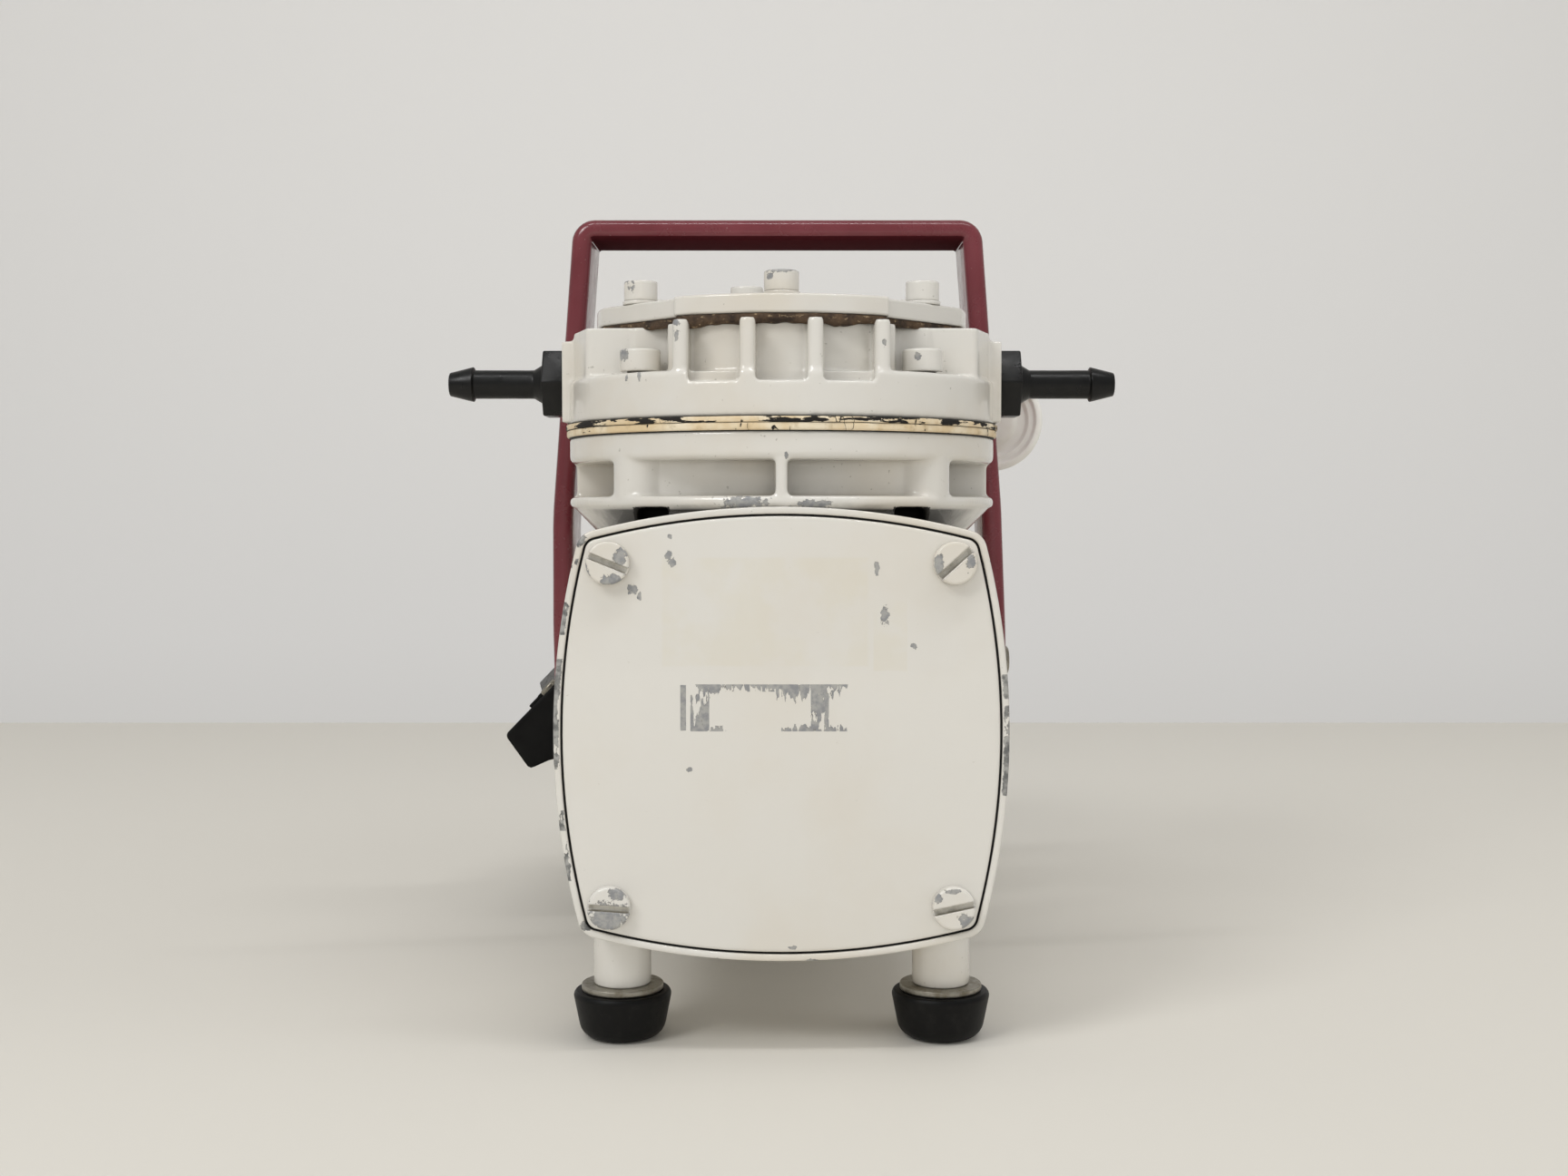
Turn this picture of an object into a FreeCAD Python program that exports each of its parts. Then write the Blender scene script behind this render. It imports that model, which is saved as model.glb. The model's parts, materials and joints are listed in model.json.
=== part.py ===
# Diaphragm vacuum pump with its motor, in millimetres.
# The pump's front faces -Y, +Z is up, and the feet stand on z = 0.
# Depths are counted back from the crankcase's front rim, along +Y.
import FreeCAD, Part
import math
import os
import re

import Sketcher
from FreeCAD import Placement, Rotation, Vector

SIZES = {
    # crankcase
    "axis_height": 76.1,
    "case_half": 53.5,
    "case_bulge": 178,
    "case_corner": 5,
    "case_depth": 112,
    "rim_depth": 7,
    "body_inset": 2,
    "case_bore": 46,
    "rear_wall": 8,
    "rear_bore": 26,
    "fit": 0.05,
    # front cover
    "rim_wall": 1.65,
    "seal_gap": 0.85,
    "cover_thick": 4,
    "cover_seal_thick": 1,
    "seal_setback": 0.5,
    "case_screw_pitch": 40.4,
    "case_screw_radius": 2.5,
    "case_screw_length": 16,
    "case_screw_head": 5.1,
    "case_screw_head_tall": 3,
    "slot_width": 1.5,
    "slot_depth": 1.5,
    # neck between crankcase and head
    "pump_depth": 58,
    "flange_radius": 55.6,
    "low_flange_base": 129.6,
    "low_flange_thick": 2.6,
    "window_tall": 8.6,
    "top_flange_thick": 6.7,
    "neck_half": 39.3,
    "neck_foot": 14,
    "post_radius": 6.6,
    "rib_thick": 2.8,
    "side_rib_inset": 1.5,
    "cylinder_radius": 36,
    # diaphragm
    "ring_radius": 56.4,
    "ring_thick": 1.9,
    "ring_bore": 37,
    "rubber_thick": 1.4,
    "clamp_radius": 24,
    "clamp_thick": 2.5,
    "support_thick": 4,
    "crank_throw": 3.4,
    "top_rise": 1.4,
    "head_gap": 0.5,
    # pump head
    "head_radius": 56,
    "head_base_tall": 11.2,
    "head_tall": 23.4,
    "head_core": 46,
    "fin_pitch": 16,
    "fin_width": 3.8,
    "fin_setback": 0.8,
    "fin_floor_drop": 2.7,
    "head_screw_pitch": 34.6,
    "head_screw_radius": 3,
    "head_screw_head": 5,
    "head_screw_head_tall": 5.5,
    "head_screw_length": 30,
    "screw_pocket": 6.8,
    "block_outer": 48.6,
    "block_half": 27,
    "boss_reach": 56.5,
    "boss_half": 13,
    "boss_drop": 2,
    "port_height": 162,
    "port_bore": 3,
    "port_thread": 6.4,
    "port_thread_deep": 9,
    # head cover
    "gasket_thick": 1.5,
    "plate_thick": 4.7,
    "plate_radius": 48.4,
    "lobe_half": 26,
    "lobe_step": 37,
    "wing_half": 16,
    "plate_screw_ring": 41,
    "plate_screw_radius": 2,
    "plate_screw_length": 16,
    "plate_screw_head": 4.25,
    "plate_screw_head_tall": 5,
    "washer_radius": 4.6,
    "washer_thick": 1,
    # valves
    "valve_offset": 20,
    "valve_pocket": 10.5,
    "intake_floor": 156.6,
    "exhaust_floor": 160,
    "valve_radius": 7.5,
    "valve_thick": 1.2,
    "valve_lift": 0.7,
    "valve_gap": 0.15,
    "valve_hole": 1.2,
    "inner_ring": 4.5,
    "outer_ring": 9,
    "throat_radius": 6,
    # hose nozzles
    "nozzle_hex": 17,
    "nozzle_hex_long": 6,
    "nozzle_stem": 3.75,
    "nozzle_stem_long": 18.8,
    "nozzle_barb": 4.6,
    "nozzle_tip": 3.05,
    "nozzle_barb_long": 6.3,
    "nozzle_bore": 2.2,
    "seal_thick": 1.2,
    "seal_radius": 8,
    # crank drive
    "shaft_radius": 7,
    "eccentric_radius": 12.5,
    "big_end_radius": 28.5,
    "rod_bearing_width": 12,
    "rod_bearing_radius": 23.5,
    "rod_width": 18,
    "rod_head": 14,
    "rod_thick": 10,
    "rod_web": 4,
    "counterweight_radius": 38,
    "counterweight_thick": 12,
    "counterweight_gap": 6,
    "hub_radius": 13,
    "hub_length": 14,
    "bearing_ring": 3,
    "bearing_gap": 0.3,
    # motor
    "motor_radius": 54,
    "motor_shell": 50.5,
    "shield_thick": 12,
    "ear_reach": 60.5,
    "ear_half": 16,
    "motor_length": 90,
    "stator_radius": 44,
    "rotor_radius": 27,
    "air_gap": 0.5,
    "core_length": 60,
    "winding_long": 9,
    "winding_inner": 30,
    "winding_outer": 42,
    "rear_shield_thick": 10,
    "front_bearing_seat": 7.5,
    "front_bearing_radius": 16,
    "front_bearing_width": 9,
    "rear_bearing_seat": 6,
    "rear_bearing_radius": 14,
    "rear_bearing_width": 8,
    "core_shaft": 9,
    "cooling_fin_width": 2,
    "tie_ring": 47.3,
    "tie_radius": 2.1,
    "tie_head": 3.6,
    "tie_head_tall": 3.5,
    "fan_radius": 44,
    "fan_width": 14,
    "fan_gap": 6,
    "fan_seat": 5,
    "fan_cover_length": 34,
    "sheet_thick": 1.5,
    "register_thick": 1.4,
    "grille_hole": 2.2,
    # handle
    "handle_depth": 99,
    "handle_width": 25,
    "handle_thick": 5,
    "handle_end": 60,
    "handle_low_reach": 65.5,
    "handle_low_height": 95,
    "handle_mid_reach": 64.4,
    "handle_mid_height": 128,
    "handle_top_reach": 58.7,
    "handle_top_height": 212.1,
    "handle_corner": 4,
    "handle_screw_pitch": 8,
    # feet
    "foot_offset": 39,
    "foot_front_depth": 18,
    "foot_rear_depth": 190,
    "foot_tall": 11.5,
    "foot_top_radius": 12,
    "foot_low_radius": 10,
    "foot_washer_radius": 10,
    "foot_washer_thick": 1.6,
    "foot_post_radius": 7,
    "foot_post_tall": 30,
    "foot_screw_radius": 2.5,
    # capacitor
    "capacitor_side": 63.3,
    "capacitor_height": 156.1,
    "capacitor_depth": 124,
    "capacitor_radius": 15.3,
    "capacitor_length": 66,
    "bracket_thick": 2,
    "bracket_width": 24,
    "bracket_foot": 22,
    "bracket_seat": 56.5,
    # switch box
    "box_depth": 126.3,
    "box_length": 76,
    "box_inner": 56,
    "box_shoulder": 60,
    "box_top": 9.5,
    "box_tip_reach": 84.4,
    "box_tip_drop": 15.6,
    "box_low_reach": 77,
    "box_low_drop": 26,
    "box_under_reach": 70.7,
    "box_under_drop": 23.2,
    "box_seat_drop": 21,
    "lid_screw_pitch": 23,
    "switch_long": 30,
    "switch_wide": 20,
    "switch_rim": 1.6,
    "switch_deep": 12,
    "rocker_long": 24.2,
    "rocker_wide": 13,
    "rocker_gap": 0.5,
    "rocker_tilt": 8,
    "gland_side": 65,
    "gland_drop": 9.5,
    "gland_radius": 8,
    "gland_hex": 17,
    "gland_bore": 3.6,
}

# Values worked out from the sizes above.
PLACES = {
    "rear_depth": "case_depth + shield_thick + motor_length + rear_shield_thick + fan_cover_length",
    "front_y": "(case_screw_head_tall - rear_depth) / 2",
    "pump_y": "front_y + pump_depth",
    "window_base": "low_flange_base + low_flange_thick",
    "top_flange_base": "window_base + window_tall",
    "neck_top": "top_flange_base + top_flange_thick",
    "rubber_base": "neck_top + ring_thick",
    "head_base": "rubber_base + rubber_thick",
    "head_base_top": "head_base + head_base_tall",
    "head_top": "head_base + head_tall",
    "chamber_top": "low_clamp + rubber_thick + clamp_thick + 2 * crank_throw + head_gap",
    "screw_seat": "head_base_top + 0.6",
    "plate_base": "head_top + gasket_thick",
    "plate_top": "plate_base + plate_thick",
    "low_clamp": "rubber_base + top_rise - 2 * crank_throw",
    "pin_height": "axis_height - crank_throw",
    "rod_reach": "low_clamp - support_thick - pin_height",
    "cover_floor": "cover_thick + cover_seal_thick",
    "motor_depth": "case_depth + shield_thick",
    "core_depth": "motor_depth + (motor_length - core_length) / 2",
    "shield_depth": "motor_depth + motor_length",
    "fan_cover_depth": "shield_depth + rear_shield_thick",
    "fan_depth": "fan_cover_depth + fan_gap",
    "front_bearing_depth": "motor_depth - 3 - front_bearing_width",
    "rear_bearing_depth": "shield_depth + 1.5",
    "eccentric_depth": "pump_depth - rod_bearing_width / 2 - 1",
    "weight_depth": "pump_depth + rod_bearing_width / 2 + counterweight_gap",
    "hub_depth": "weight_depth + counterweight_thick",
    "foot_post_base": "foot_tall + foot_washer_thick",
    "capacitor_reach": "sqrt(capacitor_side ^ 2 + (capacitor_height - axis_height) ^ 2)",
    "lean_x": "capacitor_side / capacitor_reach",
    "lean_z": "(capacitor_height - axis_height) / capacitor_reach",
    "bracket_depth": "capacitor_depth + capacitor_length",
    "bracket_foot_depth": "bracket_depth + bracket_thick - bracket_foot",
    "plate_hole_side": "plate_screw_ring * sqrt(3) / 2",
    "box_run": "box_tip_reach - box_shoulder",
    "box_fall": "box_tip_drop + box_top",
    "slope_x": "(box_tip_reach + box_shoulder) / 2",
    "slope_z": "(box_top - box_tip_drop) / 2",
}

doc = FreeCAD.newDocument("vacuum_pump")
sheet = doc.addObject("Spreadsheet::Sheet", "size")
for row, (alias, amount) in enumerate(SIZES.items(), 1):
    sheet.set(f"A{row}", alias)
    sheet.set(f"B{row}", str(amount))
    sheet.setAlias(f"B{row}", alias)
derived = doc.addObject("App::VarSet", "place")
doc.recompute()
OWNER = {alias: "size." for alias in SIZES}
OWNER.update({name: "place." for name in PLACES})
NODES = []


def formula(text):
    """Put the owner's name in front of each size named in a formula."""
    return re.sub(r"[a-z_]+", lambda word: OWNER.get(word[0], "") + word[0], str(text))


def number(text):
    """Give the value of a formula."""
    return float(sheet.evalExpression(formula(text)))


def bind(item, path, text):
    """Tie a property to a formula."""
    item.setExpression(path, formula(text))


for name in PLACES:
    derived.addProperty("App::PropertyFloat", name)
for name, text in PLACES.items():
    bind(derived, name, text)
doc.recompute()

BOX_TILT = -math.degrees(math.atan2(number("box_fall"), number("box_run")))
CAPACITOR_TILT = math.degrees(
    math.atan2(number("capacitor_side"), number("capacitor_height - axis_height"))
)
SIDES = (1, -1)
CORNERS = ((-1, 1), (1, 1), (-1, -1), (1, -1))


def place(item, x="0", y="0", z="0", turn=None):
    """Set where an object stands, each coordinate tied to a formula."""
    if turn:
        item.Placement = Placement(Vector(), turn)
    for axis, text in zip("xyz", (x, y, z)):
        if text != "0":
            bind(item, f"Placement.Base.{axis}", text)


def body(label, x="0", y="front_y", z="axis_height", turn=None):
    """Start a body whose own frame stands at the given point."""
    piece = doc.addObject("PartDesign::Body", label)
    place(piece, x, y, z, turn)
    return piece


def sketch(piece, role, offset="0"):
    """Start a sketch on one of the body's planes, moved along +X, +Y or +Z."""
    drawing = piece.newObject("Sketcher::SketchObject", piece.Name + "_sketch")
    plane = next(item for item in piece.Origin.OriginFeatures if item.Role == role)
    drawing.AttachmentSupport = [(plane, "")]
    drawing.MapMode = "FlatFace"
    sign = "-" if role == "XZ_Plane" else ""
    bind(drawing, "AttachmentOffset.Base.z", f"{sign}({offset})")
    return drawing


def hold(drawing, kind, *where, text):
    """Add a dimension to a sketch and tie it to a formula."""
    index = drawing.addConstraint(Sketcher.Constraint(kind, *where, number(text)))
    bind(drawing, f"Constraints[{index}]", text)


def pin(drawing, item, end, x, y):
    """Fix a point of a sketch at x, y."""
    for text, kind, axis in ((x, "DistanceX", -2), (y, "DistanceY", -1)):
        if text == "0":
            drawing.addConstraint(Sketcher.Constraint("PointOnObject", item, end, axis))
        else:
            hold(drawing, kind, -1, 1, item, end, text=text)


def circle(drawing, x, y, radius):
    """Draw a circle."""
    middle = Vector(number(x), number(y), 0)
    item = drawing.addGeometry(Part.Circle(middle, Vector(0, 0, 1), number(radius)))
    pin(drawing, item, 3, x, y)
    hold(drawing, "Radius", item, text=radius)


def arc_between(start, end, middle):
    """Give the arc from start to end about middle, and whether it runs backwards."""
    first = math.atan2(start.y - middle.y, start.x - middle.x)
    last = math.atan2(end.y - middle.y, end.x - middle.x)
    backwards = (last - first) % (2 * math.pi) > math.pi
    if backwards:
        first, last = last, first
    ring = Part.Circle(middle, Vector(0, 0, 1), (start - middle).Length)
    return Part.ArcOfCircle(ring, first, last), backwards


def chord_middle(start, end, radius):
    """Give the centre of the arc over a chord that bulges away from the origin."""
    half = (end - start) * 0.5
    reach = math.sqrt(max(radius ** 2 - half.Length ** 2, 0))
    across = Vector(-half.y, half.x, 0).normalize() * reach
    options = (start + half + across, start + half - across)
    return min(options, key=lambda point: point.Length)


def outline(drawing, corners, arcs=None):
    """Draw a closed outline through corners given as (x, y) or (x, y, rounding).

    arcs gives the radius of the side that follows a corner, where it is curved.
    """
    arcs = arcs or {}
    points = [Vector(number(corner[0]), number(corner[1]), 0) for corner in corners]
    count = len(points)
    entries, exits, middles = [], [], []
    for index, corner in enumerate(corners):
        here = points[index]
        back = (points[index - 1] - here).normalize()
        ahead = (points[(index + 1) % count] - here).normalize()
        if len(corner) < 3:
            entries.append(here)
            exits.append(here)
            middles.append(None)
            continue
        half_angle = back.getAngle(ahead) / 2
        trim = number(corner[2]) / math.tan(half_angle)
        entries.append(here + back * trim)
        exits.append(here + ahead * trim)
        bisector = (back + ahead).normalize()
        middles.append(here + bisector * (number(corner[2]) / math.sin(half_angle)))
    sides = []
    for index in range(count):
        start, end = exits[index], entries[(index + 1) % count]
        if index in arcs:
            middle = chord_middle(start, end, number(arcs[index]))
            curve, backwards = arc_between(start, end, middle)
            item = drawing.addGeometry(curve)
            hold(drawing, "Radius", item, text=arcs[index])
            sides.append((item, 2, 1) if backwards else (item, 1, 2))
        else:
            sides.append((drawing.addGeometry(Part.LineSegment(start, end)), 1, 2))
    for index, corner in enumerate(corners):
        before, after = sides[index - 1], sides[index]
        if middles[index] is None:
            link = Sketcher.Constraint("Coincident", before[0], before[2], after[0], after[1])
            drawing.addConstraint(link)
            pin(drawing, after[0], after[1], corner[0], corner[1])
            continue
        curve, backwards = arc_between(entries[index], exits[index], middles[index])
        item = drawing.addGeometry(curve)
        first, last = (2, 1) if backwards else (1, 2)
        mark = drawing.addGeometry(Part.Point(points[index]), True)
        pin(drawing, mark, 1, corner[0], corner[1])
        drawing.addConstraint(Sketcher.Constraint("PointOnObject", mark, 1, before[0]))
        drawing.addConstraint(Sketcher.Constraint("PointOnObject", mark, 1, after[0]))
        drawing.addConstraint(Sketcher.Constraint("Tangent", before[0], before[2], item, first))
        drawing.addConstraint(Sketcher.Constraint("Tangent", item, last, after[0], after[1]))
        hold(drawing, "Radius", item, text=corner[2])


def rectangle(drawing, left, right, low, high):
    """Draw a rectangle."""
    outline(drawing, [(left, low), (right, low), (right, high), (left, high)])


def bulged_square(drawing, inset="0"):
    """Draw the crankcase's outline, four bulging sides with rounded corners."""
    shift = "(case_bulge - case_half)"
    side = f"(case_bulge - ({inset}))"
    corner = f"max(case_corner - ({inset}); 1.2)"
    away, reach = number(shift), number(side) - number(corner)
    spot = (-away + math.sqrt(2 * reach ** 2 - away ** 2)) / 2
    rounds = [Vector(x * spot, y * spot, 0) for x, y in ((1, -1), (1, 1), (-1, 1), (-1, -1))]
    centres = [Vector(-away, 0, 0), Vector(0, -away, 0), Vector(away, 0, 0), Vector(0, away, 0)]
    spots = [(f"-{shift}", "0"), ("0", f"-{shift}"), (shift, "0"), ("0", shift)]
    items = []
    for index in range(4):
        for middle, text in ((centres[index], side), (rounds[(index + 1) % 4], corner)):
            pair = (rounds[index], rounds[(index + 1) % 4])
            if text is side:
                touch = [middle + (point - middle).normalize() * number(side) for point in pair]
            else:
                pair = (centres[index], centres[(index + 1) % 4])
                touch = [middle + (middle - point).normalize() * number(corner) for point in pair]
            curve = arc_between(touch[0], touch[1], middle)[0]
            items.append(drawing.addGeometry(curve))
            hold(drawing, "Radius", items[-1], text=text)
        pin(drawing, items[2 * index], 3, *spots[index])
    for index in range(8):
        link = Sketcher.Constraint("Tangent", items[index], 2, items[(index + 1) % 8], 1)
        drawing.addConstraint(link)


def hexagon(drawing, across):
    """Draw a hexagon about the origin from its width across flats."""
    ring = f"({across}) / sqrt(3)"
    steps = ((1, 0), (0.5, 1), (-0.5, 1), (-1, 0), (-0.5, -1), (0.5, -1))
    outline(drawing, [(f"{x} * {ring}", f"{y} * ({across}) / 2" if y else "0") for x, y in steps])


def add(piece, drawing, length, back=False, both=False):
    """Pad a sketch: up or to the right, and rearwards when back is set."""
    feature = piece.newObject("PartDesign::Pad", piece.Name + "_pad")
    feature.Profile = drawing
    bind(feature, "Length", length)
    feature.Reversed = back
    feature.Midplane = both
    return feature


def cut(piece, drawing, length=None, reverse=False, both=False):
    """Cut a sketch down or rearwards, all the way when no length is given."""
    feature = piece.newObject("PartDesign::Pocket", piece.Name + "_pocket")
    feature.Profile = drawing
    if length:
        bind(feature, "Length", length)
    else:
        feature.Type = "ThroughAll"
    feature.Reversed = reverse
    feature.Midplane = both
    return feature


def turn(piece, drawing, axis="V_Axis", groove=False):
    """Turn a sketch about its upright or level axis, as material or as a groove."""
    kind = "PartDesign::Groove" if groove else "PartDesign::Revolution"
    feature = piece.newObject(kind, piece.Name + "_turned")
    feature.Profile = drawing
    feature.ReferenceAxis = (drawing, [axis])
    feature.Angle = 360
    return feature


def repeat(piece, features, drawing, count):
    """Repeat features round the upright axis of a sketch's plane."""
    pattern = piece.newObject("PartDesign::PolarPattern", piece.Name + "_pattern")
    pattern.Originals = features
    pattern.Axis = (drawing, ["N_Axis"])
    pattern.Angle = 360
    pattern.Occurrences = count
    piece.Tip = pattern


def lathe_up(piece, corners, depth="0", groove=False):
    """Turn an outline of (radius, height) corners about the upright axis."""
    drawing = sketch(piece, "XZ_Plane", depth)
    outline(drawing, corners)
    return turn(piece, drawing, groove=groove)


def lathe_back(piece, corners, groove=False):
    """Turn an outline of (depth, radius) corners about the axis that runs rearwards."""
    drawing = sketch(piece, "YZ_Plane")
    outline(drawing, corners)
    return turn(piece, drawing, axis="H_Axis", groove=groove)


def disc_back(piece, x, z, radius, start, length):
    """Pad a round disc rearwards."""
    drawing = sketch(piece, "XZ_Plane", start)
    circle(drawing, x, z, radius)
    return add(piece, drawing, length, back=True)


def bores(piece, plane, offset, spots, radius, length=None, reverse=False):
    """Cut round holes at the given spots."""
    drawing = sketch(piece, plane, offset)
    for x, y in spots:
        circle(drawing, x, y, radius)
    return cut(piece, drawing, length, reverse=reverse)


def keep(item):
    """List an object as one of the finished nodes."""
    NODES.append(item)
    return item


def copies(label, source, spots):
    """Join placed copies of one piece in a single node of separate solids."""
    links = []
    for index, (x, y, z, rotation) in enumerate(spots):
        link = doc.addObject("App::Link", f"{label}_{index}")
        link.LinkedObject = source
        link.LinkPlacement = Placement(Vector(), rotation or Rotation())
        for axis, text in zip("xyz", (x, y, z)):
            bind(link, f"LinkPlacement.Base.{axis}", text)
        links.append(link)
    group = doc.addObject("Part::Compound", label)
    group.Links = links
    return keep(group)


def crosswise(pitch, y_pitch=None):
    """Give the four corner spots at plus and minus a pitch."""
    return [(f"{x} * {pitch}", f"{y} * {y_pitch or pitch}") for x, y in CORNERS]


def head_screw_spots(middle="0"):
    """Give the four spots of the large head screws about the pump axis."""
    return [(f"{x} * head_screw_pitch", f"{middle} + {y} * head_screw_pitch") for x, y in CORNERS]


def tie_spots():
    """Give the four spots of the motor's through bolts."""
    return crosswise("tie_ring / sqrt(2)")


def crankcase():
    """Cast case with its front rim, neck, flanges, ribs and front foot posts."""
    piece = body("crankcase")
    rim = sketch(piece, "XZ_Plane")
    bulged_square(rim)
    add(piece, rim, "rim_depth", back=True)
    barrel = sketch(piece, "XZ_Plane", "rim_depth")
    bulged_square(barrel, "body_inset")
    add(piece, barrel, "case_depth - rim_depth", back=True)
    foot = "low_flange_base - axis_height - neck_foot"
    low, window = "low_flange_base - axis_height", "window_base - axis_height"
    lathe_up(piece, [("0", foot), ("flange_radius - neck_foot", foot), ("flange_radius", low, "0.8"),
                     ("flange_radius", window, "1"), ("0", window)], "pump_depth")
    lathe_up(piece, [("0", "top_flange_base - axis_height"),
                     ("flange_radius", "top_flange_base - axis_height", "1.6"),
                     ("flange_radius", "neck_top - axis_height", "0.8"),
                     ("0", "neck_top - axis_height")], "pump_depth")
    tall = "window_tall + 2"
    column = sketch(piece, "XY_Plane", f"{window} - 1")
    rectangle(column, "-neck_half", "neck_half", "pump_depth - neck_half", "pump_depth + neck_half")
    add(piece, column, tall)
    posts = sketch(piece, "XY_Plane", f"{window} - 1")
    for x, y in head_screw_spots("pump_depth"):
        circle(posts, x, y, "post_radius")
    add(piece, posts, tall)
    for wide, long in (("rib_thick / 2", "flange_radius - 0.2"),
                       ("flange_radius - side_rib_inset", "rib_thick / 2")):
        rib = sketch(piece, "XY_Plane", f"{window} - 1")
        rectangle(rib, f"-({wide})", wide, f"pump_depth - ({long})", f"pump_depth + {long}")
        add(piece, rib, tall)
    feet = sketch(piece, "XY_Plane", "foot_post_base - axis_height")
    for side in SIDES:
        circle(feet, f"{side} * foot_offset", "foot_front_depth", "foot_post_radius")
    add(piece, feet, "foot_post_tall")
    recess = sketch(piece, "XZ_Plane")
    bulged_square(recess, "rim_wall")
    cut(piece, recess, "cover_floor")
    bores(piece, "XZ_Plane", "0", [("0", "0")], "case_bore", "case_depth - rear_wall")
    bores(piece, "XZ_Plane", "0", [("0", "0")], "rear_bore")
    bores(piece, "XY_Plane", "neck_top - axis_height", [("0", "pump_depth")], "cylinder_radius",
          "neck_top - axis_height")
    bores(piece, "XZ_Plane", "0", crosswise("case_screw_pitch"), "case_screw_radius + fit",
          "case_screw_length + 2")
    bores(piece, "XY_Plane", "neck_top - axis_height", head_screw_spots("pump_depth"),
          "head_screw_radius + fit", "head_screw_length - 12")
    bores(piece, "XY_Plane", "foot_post_base - axis_height",
          [(f"{side} * foot_offset", "foot_front_depth") for side in SIDES],
          "foot_screw_radius + fit", "14", reverse=True)
    bores(piece, "XZ_Plane", "0", tie_spots(), "tie_radius + fit")
    back = sketch(piece, "XZ_Plane", "case_depth")
    rectangle(back, "-2 * case_half", "2 * case_half", "-2 * case_half", f"{window} + 1")
    cut(piece, back)
    keep(piece)


def front_cover():
    """Plate set flush in the rim, its rubber seal and its four slotted screws."""
    plate = body("front_cover")
    face = sketch(plate, "XZ_Plane")
    bulged_square(face, "rim_wall + seal_gap")
    add(plate, face, "cover_thick", back=True)
    bores(plate, "XZ_Plane", "0", crosswise("case_screw_pitch"), "case_screw_radius + 4 * fit")
    keep(plate)
    seal = body("front_cover_gasket")
    band = sketch(seal, "XZ_Plane", "seal_setback")
    bulged_square(band, "rim_wall + fit")
    add(seal, band, "cover_floor - seal_setback", back=True)
    inside = sketch(seal, "XZ_Plane")
    bulged_square(inside, "rim_wall + seal_gap - fit")
    cut(seal, inside, "cover_thick")
    bores(seal, "XZ_Plane", "0", [("0", "0")], "case_bore")
    bores(seal, "XZ_Plane", "0", crosswise("case_screw_pitch"), "case_screw_radius + 4 * fit")
    keep(seal)
    screw = body("slotted_screw", y="0", z="0")
    lathe_back(screw, [("-case_screw_head_tall", "0"),
                       ("-case_screw_head_tall", "case_screw_head", "0.7"),
                       ("0", "case_screw_head"), ("0", "case_screw_radius"),
                       ("case_screw_length", "case_screw_radius"), ("case_screw_length", "0")])
    slot = sketch(screw, "XZ_Plane", "-case_screw_head_tall")
    rectangle(slot, "-case_screw_head - 1", "case_screw_head + 1", "-slot_width / 2", "slot_width / 2")
    cut(screw, slot, "slot_depth")
    angles = (22, -42, 4, -12)
    copies("front_cover_screws", screw,
           [(f"{x} * case_screw_pitch", "front_y", f"axis_height + {z} * case_screw_pitch",
             Rotation(Vector(0, 1, 0), angle)) for (x, z), angle in zip(CORNERS, angles)])


def diaphragm_stack():
    """Ring, rubber diaphragm at its lowest point, and the discs that clamp it."""
    ring = body("diaphragm_ring", y="pump_y", z="0")
    lathe_up(ring, [("ring_bore", "neck_top"), ("ring_radius", "neck_top", "0.4"),
                    ("ring_radius", "rubber_base", "0.4"), ("ring_bore", "rubber_base")])
    bores(ring, "XY_Plane", "rubber_base", head_screw_spots(), "head_screw_radius + 4 * fit")
    keep(ring)
    rubber = body("diaphragm", y="pump_y", z="0")
    lift = "rubber_thick"
    lathe_up(rubber, [("head_screw_radius + fit", "low_clamp"),
                      ("clamp_radius + 1.5", "low_clamp", "2"),
                      ("cylinder_radius - 2", "rubber_base", "2"),
                      ("ring_radius", "rubber_base"), ("ring_radius", "head_base"),
                      (f"cylinder_radius - 2 - {lift} / 2", "head_base", "1"),
                      (f"clamp_radius + 1.5 - {lift} / 2", f"low_clamp + {lift}", "1"),
                      ("head_screw_radius + fit", f"low_clamp + {lift}")])
    bores(rubber, "XY_Plane", "head_base", head_screw_spots(), "head_screw_radius + 4 * fit")
    keep(rubber)
    support = body("diaphragm_support_disc", y="pump_y", z="low_clamp")
    lathe_up(support, [("head_screw_radius + fit", "-support_thick"),
                       ("clamp_radius * 0.6", "-support_thick"),
                       ("clamp_radius", "-support_thick / 2", "0.8"),
                       ("clamp_radius", "0", "0.8"), ("head_screw_radius + fit", "0")])
    keep(support)
    clamp = body("diaphragm_clamp_disc", y="pump_y", z="low_clamp + rubber_thick")
    flare = "head_screw_radius + fit + clamp_thick"
    lathe_up(clamp, [("head_screw_radius + fit", "0"), ("clamp_radius", "0", "0.5"),
                     ("clamp_radius", "clamp_thick", "1"), (flare, "clamp_thick")])
    keep(clamp)
    screw = body("diaphragm_clamp_screw", y="pump_y", z="low_clamp + rubber_thick")
    tip = "-(rubber_thick + support_thick + 12)"
    lathe_up(screw, [("0", tip), ("head_screw_radius", tip), ("head_screw_radius", "0"),
                     ("head_screw_radius + clamp_thick", "clamp_thick"), ("0", "clamp_thick")])
    socket = sketch(screw, "XY_Plane", "clamp_thick")
    hexagon(socket, "4")
    cut(screw, socket, "2")
    keep(screw)


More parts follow.
